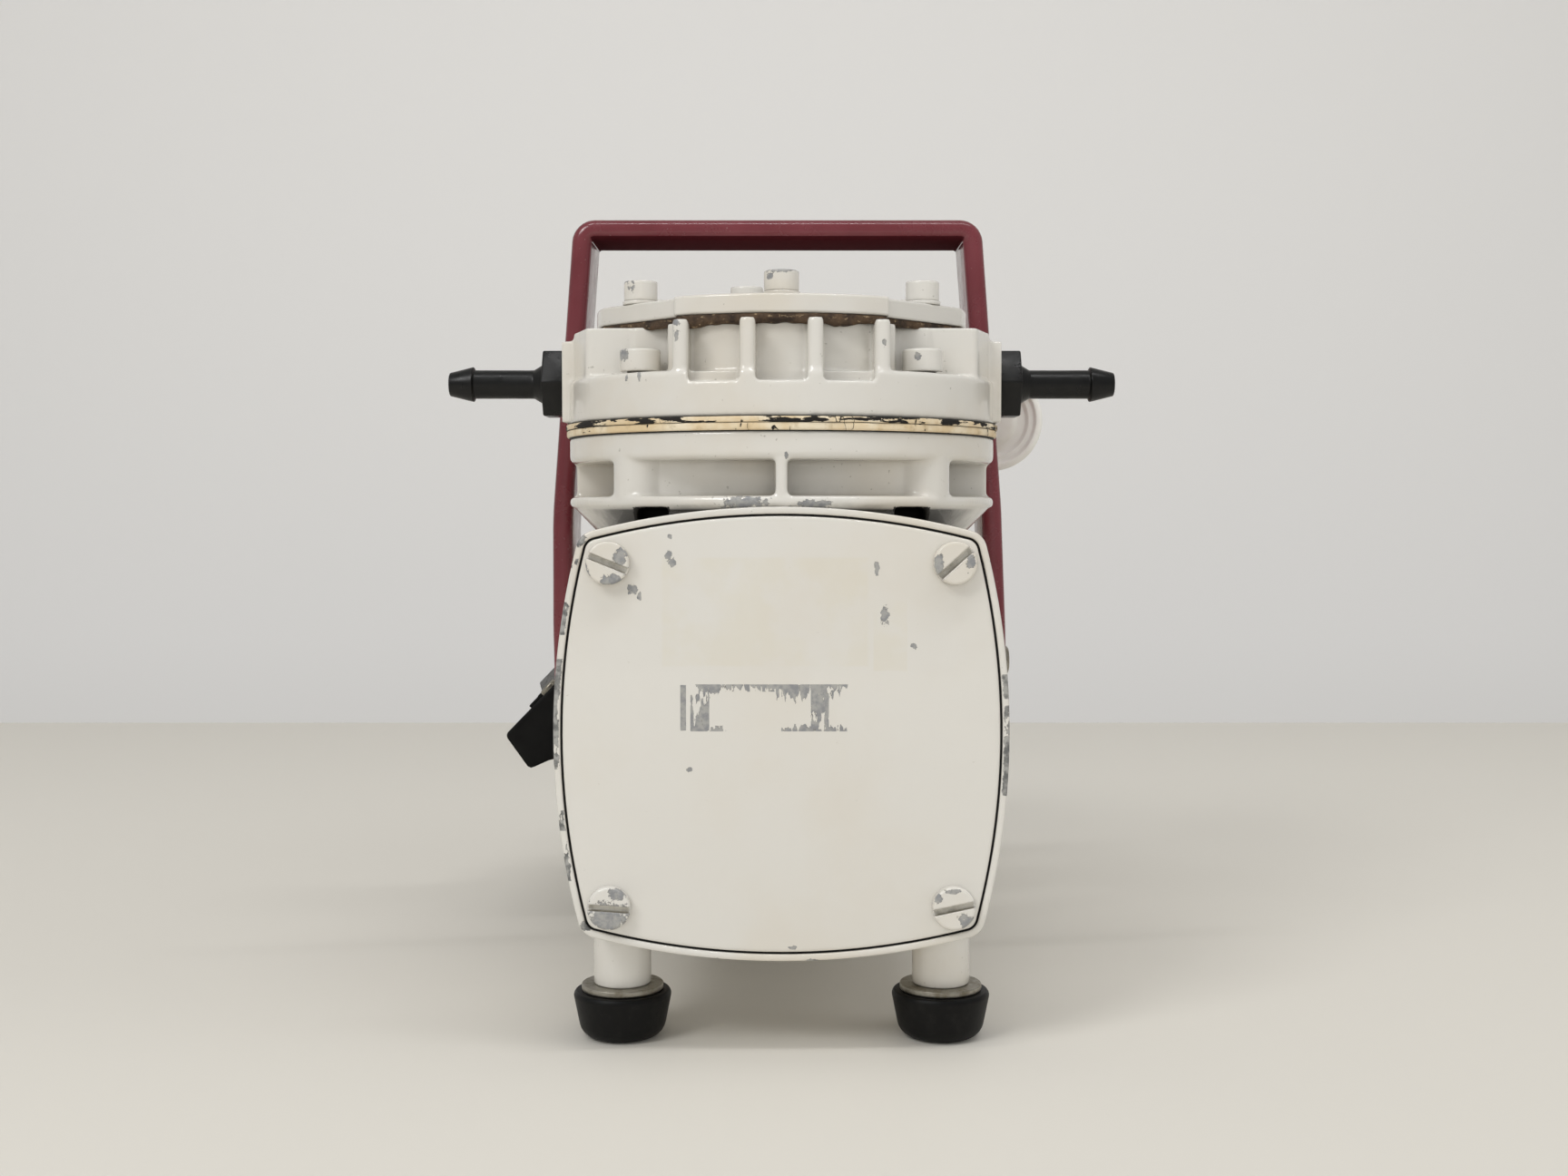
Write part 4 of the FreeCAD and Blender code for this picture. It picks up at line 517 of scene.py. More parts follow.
@dataclass(frozen=True)
class FibreGasket:
    """Pressed fibre gasket: dark brown, soaked and ragged, with pale frayed edges."""

    name: str = "oil-soaked fibre gasket"

    def material(self) -> Material:
        """Build the material."""
        paint = Painter(self.name)
        colour = paint.mottle((5, 5, 0.7), 0.35, 0.65, "2a1f17", "574432")
        fray = paint.patches((1.6, 4, 0.7, (1, 1, 2.5)), 0.58, 0.68, 0, 0.7)
        colour = paint.over(fray, colour, "b49c7a")
        normal = paint.bump(paint.noise(0.9, 4, 0.7, (1, 1, 4)), 0.6, 0.3)
        return paint.finish(base_color=colour, roughness=0.85, normal=normal)


@dataclass(frozen=True)
class BlackPlastic:
    """Glass-filled polyamide: black with a fine moulded grain and whitish rub marks."""

    name: str
    base: str = "1d1d1b"
    scuff: str = "8b8a80"
    worn: float = 0.4
    shine: float = 0.42
    gloss: float = 0.3

    def material(self) -> Material:
        """Build the material."""
        paint = Painter(self.name)
        colour = paint.mottle((12, 3), 0.3, 0.7, self.base, "111110")
        edge = paint.edges(0.5)
        rub = paint.math("ADD", paint.noise(1.8, 6, 0.75), paint.math("MULTIPLY", edge, 0.22))
        rub = paint.ramp(rub, 0.86 - 0.2 * self.worn, 1.0 - 0.2 * self.worn, 0, 0.6)
        colour = paint.over(rub, colour, self.scuff)
        normal = paint.bump(paint.noise(0.7, 2), 0.18, 0.12)
        rough = paint.patches((4, 4), 0.3, 0.7, self.shine - 0.08, self.shine + 0.1)
        return paint.finish(base_color=colour, roughness=rough, normal=normal,
                            specular_ior_level=self.gloss)


@dataclass(frozen=True)
class WhitePlastic:
    """Moulded polypropylene can: slightly glossy off-white with faint flow marks."""

    name: str = "off-white polypropylene"
    base: str = "f0eee8"

    def material(self) -> Material:
        """Build the material."""
        paint = Painter(self.name)
        colour = paint.mottle((16, 4), 0.4, 0.7, self.base, "e6e2d9")
        normal = paint.bump(paint.noise(5, 2), 0.08, 0.3)
        return paint.finish(base_color=colour, roughness=0.38, normal=normal)


@dataclass(frozen=True)
class PlainMetal:
    """Bare machined or plated metal: grey, finely scratched and unevenly dulled."""

    name: str
    base: str
    dull: str
    rough: float = 0.38
    grain: tuple = (1, 1, 1)

    def material(self) -> Material:
        """Build the material."""
        paint = Painter(self.name)
        colour = paint.mottle((4, 5, 0.7), 0.4, 0.7, self.base, self.dull)
        normal = paint.bump(paint.noise(0.7, 4, 0.6, self.grain), 0.2, 0.1)
        rough = paint.patches((2, 4), 0.3, 0.7, self.rough - 0.08, self.rough + 0.12)
        return paint.finish(base_color=colour, roughness=rough, metallic=1.0, normal=normal)


@dataclass(frozen=True)
class PlainPolymer:
    """Moulded inner part: one even colour with slight mottling and a satin surface."""

    name: str
    base: str
    shade: str
    rough: float = 0.5

    def material(self) -> Material:
        """Build the material."""
        paint = Painter(self.name)
        colour = paint.mottle((5, 4), 0.35, 0.7, self.base, self.shade)
        normal = paint.bump(paint.noise(1.0, 3), 0.15, 0.15)
        return paint.finish(base_color=colour, roughness=self.rough, normal=normal)


def chips_at(depth: float, reach: float, *places: Sequence[float]) -> tuple:
    """Give chips at one depth of the pump.

    Args:
        depth: Distance behind the front, in millimetres.
        reach: Half depth that the chips cover.
        *places: x, z and the half sizes along them.

    Returns:
        Spots as Painter.spots takes them.
    """
    return tuple((x, PLACE.front + depth, z, wide, reach, tall) for x, z, wide, tall in places)


class Palette:
    """The materials of the pump, each made once."""

    def __init__(self) -> None:
        """Build every material."""
        # Streaks left where a plate was torn off the front cover: a strip, two blocks, two rows.
        # Each has two corners, and how much is lost at its lower and upper side.
        streaks = (((-23.7, 77.0), (-22.3, 88.1), 0.72, 0.72), ((-21.4, 77.0), (-16.8, 86.0), 0.62, 0.5),
                   ((-21.0, 86.3), (16.5, 88.1), 0.44, 0.60), ((-19.5, 82.5), (-13.5, 88.1), 0.30, 0.62),
                   ((-1.6, 81.5), (14.0, 88.1), 0.28, 0.62), ((6.8, 77.0), (11.2, 88.1), 0.54, 0.62),
                   ((-21.4, 77.0), (-12.8, 78.4), 0.60, 0.42), ((-0.4, 77.0), (15.6, 78.8), 0.58, 0.40))
        tape = (((-28.5, 92.0), (20.9, 118.0)), ((21.4, 91.0), (29.5, 108.0)))
        marks = chips_at(
            0, 2, (-26.3, 118.2, 0.9, 1.3), (-25.4, 116.8, 0.8, 1.2),
            (-34.6, 110.2, 1.2, 1.0), (-33.2, 108.6, 0.5, 1.1), (22.2, 115.4, 0.6, 1.8),
            (24.2, 104.0, 1.0, 2.2), (-21.5, 68.0, 0.8, 0.5), (2.5, 25.9, 0.9, 0.5),
            (-26.0, 122.6, 0.5, 0.6), (31.0, 97.0, 0.7, 0.7))
        on_case = chips_at(
            0, 2, (-15.2, 22.8, 1.1, 0.7), (7.4, 22.6, 1.9, 0.7),
            (-50.2, 116.0, 1.2, 2.2), (-47.0, 121.8, 1.4, 1.6), (49.6, 117.4, 0.8, 1.5),
            (-46.0, 31.0, 1.2, 1.2))
        on_neck = (
            *chips_at(3.5, 6, (-8.6, 130.6, 5.6, 1.4), (7.4, 130.2, 4.2, 1.0)),
            *chips_at(2.4, 2, (1.2, 141.6, 0.5, 0.9)), *chips_at(14, 2, (40.0, 146.6, 1.0, 1.4)))
        on_head = (
            *chips_at(10, 4, (-24.9, 173.0, 0.9, 1.1), (-24.8, 170.4, 0.7, 1.4),
                      (-8.2, 174.3, 1.8, 1.0), (7.9, 174.4, 1.5, 0.8), (23.6, 174.3, 1.7, 0.6)),
            *chips_at(9, 4, (24.3, 168.4, 0.5, 0.9)), *chips_at(14, 4, (-37.5, 160.5, 0.4, 1.2)),
            *chips_at(13, 4, (-34.2, 161.4, 0.4, 1.5)))
        on_screws = (
            *chips_at(14, 5, (0.6, 186.4, 3.9, 0.8), (-2.9, 184.6, 0.8, 0.8)),
            *chips_at(38, 5, (-37.4, 184.9, 1.1, 1.8), (-40.2, 186.2, 2.0, 0.5)),
            *chips_at(22, 5, (-38.4, 166.6, 1.6, 1.8)), *chips_at(20, 5, (33.0, 166.2, 0.8, 0.9)))
        on_slots = chips_at(
            -3, 2, (-40.5, 34.0, 5.4, 3.2), (-38.2, 39.2, 2.4, 1.6),
            (-37.2, 117.8, 1.8, 2.2), (-39.4, 112.4, 2.8, 1.4), (-45.4, 114.6, 0.8, 1.8),
            (36.4, 116.6, 1.0, 2.6), (44.0, 116.6, 1.1, 2.2), (43.4, 32.8, 1.8, 1.8),
            (40.0, 39.8, 2.0, 0.6), (36.6, 38.2, 1.0, 1.2))
        self.casting = CreamEnamel("cream enamel on the head", chips=on_head).material()
        self.neck = NeckEnamel("cream enamel on the neck", chips=on_neck).material()
        self.case = RimEnamel("cream enamel on the crankcase", metal="5f605f", dirt_and_shade=0.3,
                              chips=on_case).material()
        self.cover = CoverEnamel("cream enamel on the cover plate", streaks=streaks, tape=tape,
                                 chips=marks).material()
        self.screws = CreamEnamel("cream enamel on the head screws", wear=0.9, chips=on_screws).material()
        self.slotted = CreamEnamel("cream enamel on the slotted screws", wear=0.8, dirt_and_shade=0.2,
                                   chips=on_slots).material()
        self.motor = CreamEnamel("cream enamel on the motor", wear=0.45, dirt_and_shade=0.5).material()
        self.handle = MaroonEnamel().material()
        self.handle_underside_shade = MaroonEnamel("maroon enamel with painted shade", base="471a1f", dull=True).material()
        self.ring = CrackedPaint("cracked paint on the ring", flaked=0.05).material()
        self.seam = CrackedPaint("flaked paint on the diaphragm edge", flaked=0.68).material()
        self.rubber = Rubber("moulded black rubber", base="080808", dust="44423e", bloom=0.12).material()
        self.seal = Rubber("black rubber seal", base="090909", bloom=0.1).material()
        self.gasket = FibreGasket().material()
        self.fitting = BlackPlastic("scuffed black polyamide", base="090909", worn=0.15,
                                    shine=0.34).material()
        self.box = BlackPlastic("moulded black box plastic", base="060606", worn=0.0, shine=0.5,
                                gloss=0.15).material()
        self.rocker = BlackPlastic("polished black rocker plastic", worn=0.1, shine=0.28).material()
        self.can = WhitePlastic().material()
        self.zinc = PlainMetal("dulled zinc plate", "a8a49a", "8a8475", 0.42).material()
        self.bare = PlainMetal("scratched bare steel", "d3d0c8", "b5b1a7", 0.5).material()
        # Near black for the faces in the neck's gaps: painted shade with oily dirt.
        self.grime_and_shade = Rubber("oil-soaked dirt", base="1c1a17", dust="3a3630").material()
        self.steel = PlainMetal("ground bearing steel", "b4b3b0", "9b9a96", 0.22, (1, 12, 1)).material()
        self.iron = PlainMetal("grey cast iron and core sheet", "5f5e5c", "4a4846", 0.5).material()
        self.alloy = PlainMetal("die-cast aluminium", "b9b8b4", "9d9b96", 0.4).material()
        self.copper = PlainMetal("enamelled copper wire", "a4552b", "7c3a1c", 0.35, (1, 1, 5)).material()
        self.acetal = PlainPolymer("natural acetal", "d8d2c4", "c8c0ae").material()
        self.fan = PlainPolymer("grey polyamide fan", "3a3a3c", "2c2c2e", 0.55).material()


def rounded(points: Sequence[Corner], segments: int = 4, closed: bool = False) -> list:
    """Round the corners of a path.

    Args:
        points: Corners as (a, b) or (a, b, radius).
        segments: Straight steps in each rounding.
        closed: Whether the last corner joins the first.

    Returns:
        The path's points as pairs.
    """
    result = []
    count = len(points)
    for index, corner in enumerate(points):
        here = Vector(corner[:2])
        ends = not closed and index in (0, count - 1)
        if len(corner) < 3 or ends:
            result.append(tuple(here))
            continue
        back = (Vector(points[index - 1][:2]) - here).normalized()
        ahead = (Vector(points[(index + 1) % count][:2]) - here).normalized()
        half = back.angle(ahead) / 2
        middle = here + (back + ahead).normalized() * corner[2] / math.sin(half)
        start = here + back * corner[2] / math.tan(half) - middle
        end = here + ahead * corner[2] / math.tan(half) - middle
        sweep = start.angle_signed(end)
        for step in range(segments + 1):
            turned = start.copy()
            turned.rotate(Matrix.Rotation(-sweep * step / segments, 2))
            result.append(tuple(middle + turned))
    return result


def place_point(axis: Axis, centre: Sequence[float], along: float, radius: float) -> Vector:
    """Give the point at a distance along and away from an axis, in metres."""
    offsets = {Axis.UP: (radius, 0, along), Axis.BACK: (radius, along, 0), Axis.RIGHT: (along, 0, radius)}
    return (Vector(centre) + Vector(offsets[axis])) * MM


def spin(mesh: BMesh, axis: Axis, centre: Sequence[float], profile: Sequence[Corner],
         steps: int = 64, segments: int = 4) -> list:
    """Turn a profile round an axis.

    Args:
        mesh: Mesh that takes the turned surface.
        axis: Direction of the axis.
        centre: A point of the axis, in millimetres.
        profile: Corners as (radius, along) or (radius, along, rounding), in millimetres. If the
            last is the first, a closed ring is turned.
        steps: Steps round the axis.
        segments: Steps in each rounding.

    Returns:
        The new vertices, edges and faces.
    """
    before = set(everything(mesh))
    path = rounded(profile, segments)
    closed = path[0] == path[-1]
    path = path[:len(path) - closed]
    verts = [mesh.verts.new(place_point(axis, centre, along, radius)) for radius, along in path]
    edges = [mesh.edges.new(pair) for pair in zip(verts, verts[1:] + verts[:closed])]
    bmesh.ops.spin(mesh, geom=verts + edges, cent=Vector(centre) * MM, axis=axis.value,
                   dvec=(0, 0, 0), angle=math.tau, steps=steps, use_merge=True)
    return [item for item in everything(mesh) if item not in before]


def loft(mesh: BMesh, rings: Sequence[Sequence[Vector]], cap_start: bool = False,
         cap_end: bool = False) -> None:
    """Join closed rings of points, given in metres, by extruding each ring to the next.

    Args:
        mesh: Mesh that takes the surface.
        rings: Rings with the same number of points.
        cap_start: Whether to close the first ring.
        cap_end: Whether to close the last ring.
    """
    verts = [mesh.verts.new(point) for point in rings[0]]
    start = loop = [mesh.edges.new((verts[i - 1], verts[i])) for i in range(len(verts))]
    for ring in rings[1:]:
        fresh = set(bmesh.ops.extrude_edge_only(mesh, edges=loop)["geom"])
        twins = []
        for vert, point in zip(verts, ring):
            twins += [edge.other_vert(vert) for edge in vert.link_edges if edge.other_vert(vert) in fresh]
            twins[-1].co = point
        verts = twins
        loop = [mesh.edges.get((verts[i - 1], verts[i])) for i in range(len(verts))]
    for wanted, rim in ((cap_start, start), (cap_end, loop)):
        if wanted:
            bmesh.ops.edgeloop_fill(mesh, edges=rim)


def block(mesh: BMesh, low: Sequence[float], high: Sequence[float]) -> None:
    """Add a box between two corners, in millimetres."""
    middle = (Vector(low) + Vector(high)) / 2 * MM
    size = (Vector(high) - Vector(low)) * MM
    matrix = Matrix.Translation(middle) @ Matrix.Diagonal((*size, 1))
    bmesh.ops.create_cube(mesh, size=1, matrix=matrix)


def prism(mesh: BMesh, radius: float, low: Sequence[float], height: float, sides: int = 48,
          axis: Axis = Axis.UP, turned: float = 0.0) -> None:
    """Add a round or many-sided bar that starts at low and runs along an axis, in millimetres."""
    start = Vector(low) * MM
    spin_to = Vector((0, 0, 1)).rotation_difference(Vector(axis.value)).to_matrix().to_4x4()
    lift = Matrix.Translation((0, 0, height * MM / 2))
    matrix = Matrix.Translation(start) @ spin_to @ Matrix.Rotation(turned, 4, "Z") @ lift
    bmesh.ops.create_cone(mesh, cap_ends=True, segments=sides, radius1=radius * MM,
                          radius2=radius * MM, depth=height * MM, matrix=matrix)


def everything(mesh: BMesh) -> list:
    """Give all of a mesh's vertices, edges and faces."""
    return [*mesh.verts, *mesh.edges, *mesh.faces]


def trim(mesh: BMesh, parts: list, point: Sequence[float], away: Sequence[float]) -> list:
    """Cut a closed solid with a plane and close it again.

    Args:
        mesh: Mesh that holds the solid.
        parts: The solid's vertices, edges and faces.
        point: A point of the plane, in millimetres.
        away: Direction from the plane to the side that stays.

    Returns:
        The parts that stay.
    """
    result = bmesh.ops.bisect_plane(mesh, geom=parts, plane_co=Vector(point) * MM, plane_no=away,
                                    clear_inner=True)
    rims = [item for item in result["geom_cut"] if isinstance(item, BMEdge)]
    return result["geom"] + bmesh.ops.holes_fill(mesh, edges=rims, sides=0)["faces"]


def node_copy(node: str) -> BMesh:
    """Give a welded copy of a node's mesh."""
    mesh = bmesh.new()
    mesh.from_mesh(frame["nodes"][node].data)
    bmesh.ops.remove_doubles(mesh, verts=mesh.verts, dist=1e-6)
    return mesh


def to_object(name: str, mesh: BMesh, angle: float = 40.0) -> Object:
    """Turn a bmesh into a linked object with smooth shading.

    Args:
        name: Name of the piece.
        mesh: The bmesh, freed afterwards.
        angle: Edges sharper than this many degrees stay sharp.

    Returns:
        The object.
    """
    bmesh.ops.remove_doubles(mesh, verts=mesh.verts, dist=2e-6)
    bmesh.ops.recalc_face_normals(mesh, faces=mesh.faces)
    data = bpy.data.meshes.new(name)
    mesh.to_mesh(data)
    mesh.free()
    data.shade_smooth()
    data.set_sharp_from_angle(angle=math.radians(angle))
    item = bpy.data.objects.new(name, data)
    bpy.context.scene.collection.objects.link(item)
    return item


def apply_modifiers(item: Object) -> None:
    """Put the result of an object's modifiers into its mesh."""
    graph = bpy.context.evaluated_depsgraph_get()
    graph.update()
    result = bpy.data.meshes.new_from_object(item.evaluated_get(graph))
    old = item.data
    item.modifiers.clear()
    item.data = result
    bpy.data.meshes.remove(old)


def cast_skin(name: str, mesh: BMesh, voxel: float, passes: int, keep: float) -> Object:
    """Fuse overlapping solids into one skin with soft cast edges and fillets.

    Args:
        name: Name of the piece.
        mesh: Closed, overlapping solids.
        voxel: Size of the skin's cells in millimetres.
        passes: Smoothing passes, each of which widens the fillets.
        keep: Share of the faces that stays.

    Returns:
        The object with its finished mesh.
    """
    item = to_object(name, mesh)
    remesh = item.modifiers.new("fuse", "REMESH")
    remesh.mode = "VOXEL"
    remesh.voxel_size = voxel * MM
    remesh.use_smooth_shade = True
    smooth = item.modifiers.new("soften", "SMOOTH")
    smooth.factor = 0.5
    smooth.iterations = passes
    if keep < 1:
        thin = item.modifiers.new("thin", "DECIMATE")
        thin.ratio = keep
    apply_modifiers(item)
    item.data.shade_smooth()
    return item


def bevelled(item: Object, width: float, segments: int = 3, angle: float = 35.0) -> Object:
    """Round an object's sharp edges with a modifier, its width in millimetres."""
    bevel = item.modifiers.new("edge rounding", "BEVEL")
    bevel.width = width * MM
    bevel.segments = segments
    bevel.limit_method = "ANGLE"
    bevel.angle_limit = math.radians(angle)
    bevel.harden_normals = True
    return item


def fit_out(item: Object, material: Material, nodes: Iterable[str] = (),
            body: Body = Body.HOUSING) -> Object:
    """Give a piece its material and body, and hide the nodes that it stands for.

    Args:
        item: The piece.
        material: Its material.
        nodes: Nodes of the frame that it replaces.
        body: Body that it rides on.

    Returns:
        The piece.
    """
    item.data.materials.clear()
    item.data.materials.append(material)
    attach(item, body.value)
    if nodes:
        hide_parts(*nodes)
    LOG.info("built %s with %d faces", item.name, len(item.data.polygons))
    return item


def recast(node: str, name: str, skin: Sequence[float], material: Material,
           body: Body = Body.HOUSING) -> Object:
    """Replace a node with a softened copy of itself.

    Args:
        node: The node.
        name: Name of the piece.
        skin: Voxel, passes and share of faces, as cast_skin takes them.
        material: The piece's material.
        body: Body that it rides on.

    Returns:
        The piece.
    """
    return fit_out(cast_skin(name, node_copy(node), *skin), material, [node], body)


@dataclass
class Crankcase:
    """Cast case: bulged barrel with its front rim, neck with two flanges, and front foot posts."""

    palette: Palette
    bulge: float = 178.0
    corner: float = 5.0
    rim_wall: float = 1.65
    rim_depth: float = 7.0
    recess: float = 4.6
    body_inset: float = 2.0
    flange_radius: float = 55.6
    flange_low: float = 129.6
    window_low: float = 132.2
    window_high: float = 140.8
    neck_half: float = 39.3
    column_steps: int = 96
    post_radius: float = 6.6
    rib: float = 1.4
    head_screw_pitch: float = 34.6
    foot_offset: float = 39.0
    foot_depth: float = 18.0
    post_base: float = 13.1
    post_top: float = 32.0
    foot_post: float = 7.0
    foot_fillet: float = 11.0
    foot_open: float = 35.0
    foot_gap: float = 34.0
    bridge_half: float = 27.0
    cone_tall: float = 16.0
    bridge_tall: float = 4.0
    bridge_inset: float = 1.4
    bore: float = 36.0
    rod_room: float = 30.0

    def outline(self, inset: float, side_steps: int = 26, corner_steps: int = 8) -> list:
        """Give the bulged square's points.

        Args:
            inset: How far it lies inside the rim's outer face, in millimetres.
            side_steps: Steps along each bulging side.
            corner_steps: Steps round each corner.

        Returns:
            Pairs of x and height above the shaft axis, in millimetres.
        """
        away = self.bulge - PLACE.rim_half
        side = self.bulge - inset
        corner = max(self.corner - inset, 1.2)
        reach = side - corner
        spot = (-away + math.sqrt(2 * reach ** 2 - away ** 2)) / 2
        tip = math.atan2(spot, spot + away)
        points = []
        for quarter in range(4):
            turned = quarter * math.pi / 2
            for step in range(side_steps):
                angle = -tip + 2 * tip * step / side_steps
                x, z = side * math.cos(angle) - away, side * math.sin(angle)
                points.append((x, z, turned))
            for step in range(corner_steps):
                angle = tip + (math.pi / 2 - 2 * tip) * step / corner_steps
                x, z = spot + corner * math.cos(angle), spot + corner * math.sin(angle)
                points.append((x, z, turned))
        return [(x * math.cos(a) - z * math.sin(a), x * math.sin(a) + z * math.cos(a))
                for x, z, a in points]

    def ring(self, inset: float, depth: float) -> list:
        """Give one ring of the barrel, in metres."""
        return [Vector((x, PLACE.front + depth, PLACE.axis_z + z)) * MM for x, z in self.outline(inset)]

    def build_barrel(self) -> Object:
        """Build the barrel with its rim, recess and rear edge."""
        wall, step = self.rim_wall, self.body_inset
        back = PLACE.case_back - PLACE.front
        mesh = bmesh.new()
        # Each station is the inset of one ring and its depth behind the front.
        stations = [(wall, self.recess), (wall, 0.45), (wall - 0.12, 0.12), (wall - 0.4, 0.0),
                    (0.45, 0.0), (0.13, 0.13), (0.0, 0.5), (0.0, self.rim_depth - 0.9),
                    (0.25, self.rim_depth - 0.25), (1.1, self.rim_depth + 0.2),
                    (step - 0.15, self.rim_depth + 0.7), (step, self.rim_depth + 1.6)]
        stations += [(step, depth) for depth in range(16, int(back) - 6, 6)]
        stations += [(step, back - 1.0), (step + 0.3, back - 0.3), (step + 1.0, back), (8.0, back)]
        loft(mesh, [self.ring(inset, depth) for inset, depth in stations])
        # The rod comes up through an opening that the neck covers.
        opening = []
        for face in mesh.faces:
            x, y, z = face.calc_center_median() / MM
            if z > PLACE.axis_z and math.hypot(x, y - PLACE.pump_y) < self.rod_room:
                opening.append(face)
        bmesh.ops.delete(mesh, geom=opening, context="FACES")
        item = to_object("crankcase_barrel", mesh, 50)
        return fit_out(item, self.palette.case, ["crankcase"])

    def build_neck(self) -> Object:
        """Build the neck that carries the head: flanges, square column, corner posts and ribs."""
        mesh = bmesh.new()
        radius, y = self.flange_radius, PLACE.pump_y
        self.build_foot(mesh)
        self.hoop(mesh, (radius, self.flange_low, 0.8), (radius, self.window_low, 1.0))
        self.hoop(mesh, (radius, self.window_high, 1.6), (radius, PLACE.neck_top, 0.6))
        floor, roof = self.window_low - 1, self.window_high + 1
        self.build_column(mesh, floor, roof)
        pitch = self.head_screw_pitch
        for x, along in ((-1, -1), (1, -1), (-1, 1), (1, 1)):
            prism(mesh, self.post_radius, (x * pitch, y + along * pitch, floor), roof - floor)
        for sign in (-1, 1):
            near, far = sorted((sign * (self.bore + 1), sign * (radius - 0.3)))
            block(mesh, (-self.rib, y + near, floor), (self.rib, y + far, roof))
            near, far = sorted((sign * (self.bore + 1), sign * (radius - 1.5)))
            block(mesh, (near, y - self.rib, floor), (far, y + self.rib, roof))
        item = cast_skin("crankcase_neck", mesh, 0.55, 5, 0.55)
        fit_out(item, self.palette.neck)
        # Faces in the gaps under the flange get a near black material: painted shade with oily dirt.
        item.data.materials.append(self.palette.grime_and_shade)
        for face in item.data.polygons:
            face.material_index = int(self.in_shaded_gap(*face.center / MM))
        return item

    def hoop(self, mesh: BMesh, low: Corner, high: Corner) -> list:
        """Turn a ring about the neck's bore from its two outer corners (radius, height, rounding)."""
        profile = [(self.bore, low[1]), low, high, (self.bore, high[1]), (self.bore, low[1])]
        return spin(mesh, Axis.UP, (0, PLACE.pump_y, 0), profile, 160)

    def build_foot(self, mesh: BMesh) -> None:
        """Build the neck's foot, open in front but for a bridge, so that dark gaps show there."""
        radius, low = self.flange_radius, self.flange_low
        cone = (radius - self.cone_tall, low - self.cone_tall), (radius - 0.5, low + 0.5)
        for side in (-1, 1):
            trim(mesh, self.hoop(mesh, *cone), (side * self.foot_open, 0, 0), (side, 0, 0))
        trim(mesh, self.hoop(mesh, *cone), (0, PLACE.front + self.foot_gap, 0), (0, 1, 0))
        edge = radius - self.bridge_inset
        bridge = self.hoop(mesh, (edge, low - self.bridge_tall), (edge, low + 0.6))
        bridge = trim(mesh, bridge, (self.bridge_half, 0, 0), (-1, 0, 0))
        trim(mesh, bridge, (-self.bridge_half, 0, 0), (1, 0, 0))

    def in_shaded_gap(self, x: float, y: float, z: float) -> bool:
        """Tell whether a place, in millimetres, lies in the gaps of the neck's foot that get painted shade
        and oily dirt.
        """
        gap = self.bridge_half - 0.3 < abs(x) < self.foot_open + 1 and y < PLACE.pump_y
        behind = abs(x) < self.foot_open and PLACE.front + self.foot_gap - 1 < y
        return (gap or behind) and z < self.flange_low - 0.1

    def build_column(self, mesh: BMesh, floor: float, roof: float) -> None:
        """Build the neck's square column with its round bore, between two heights."""
        turns = [math.tau * step / self.column_steps for step in range(self.column_steps)]
        rings = []
        for square, height in ((True, floor), (True, roof), (False, roof), (False, floor), (True, floor)):
            ring = []
            for turn in turns:
                across, along = math.cos(turn), math.sin(turn)
                away = self.neck_half / max(abs(across), abs(along)) if square else self.bore
                ring.append(Vector((across * away, PLACE.pump_y + along * away, height)) * MM)
            rings.append(ring)
        loft(mesh, rings)

    def build_posts(self) -> Object:
        """Build the two front foot posts with their fillets under the barrel."""
        mesh = bmesh.new()
        base, top, radius = self.post_base, self.post_top, self.foot_post
        for side in (-1, 1):
            centre = (side * self.foot_offset, PLACE.front + self.foot_depth, 0)
            spin(mesh, Axis.UP, centre, [(0, base), (radius, base, 0.6), (radius, top - 6.0, 2.0),
                                         (self.foot_fillet, top), (0, top)], 48)
        item = to_object("crankcase_posts", mesh)
        return fit_out(item, self.palette.casting)

    def build(self) -> None:
        """Build all pieces of the crankcase."""
        self.build_barrel()
        self.build_neck()
        self.build_posts()


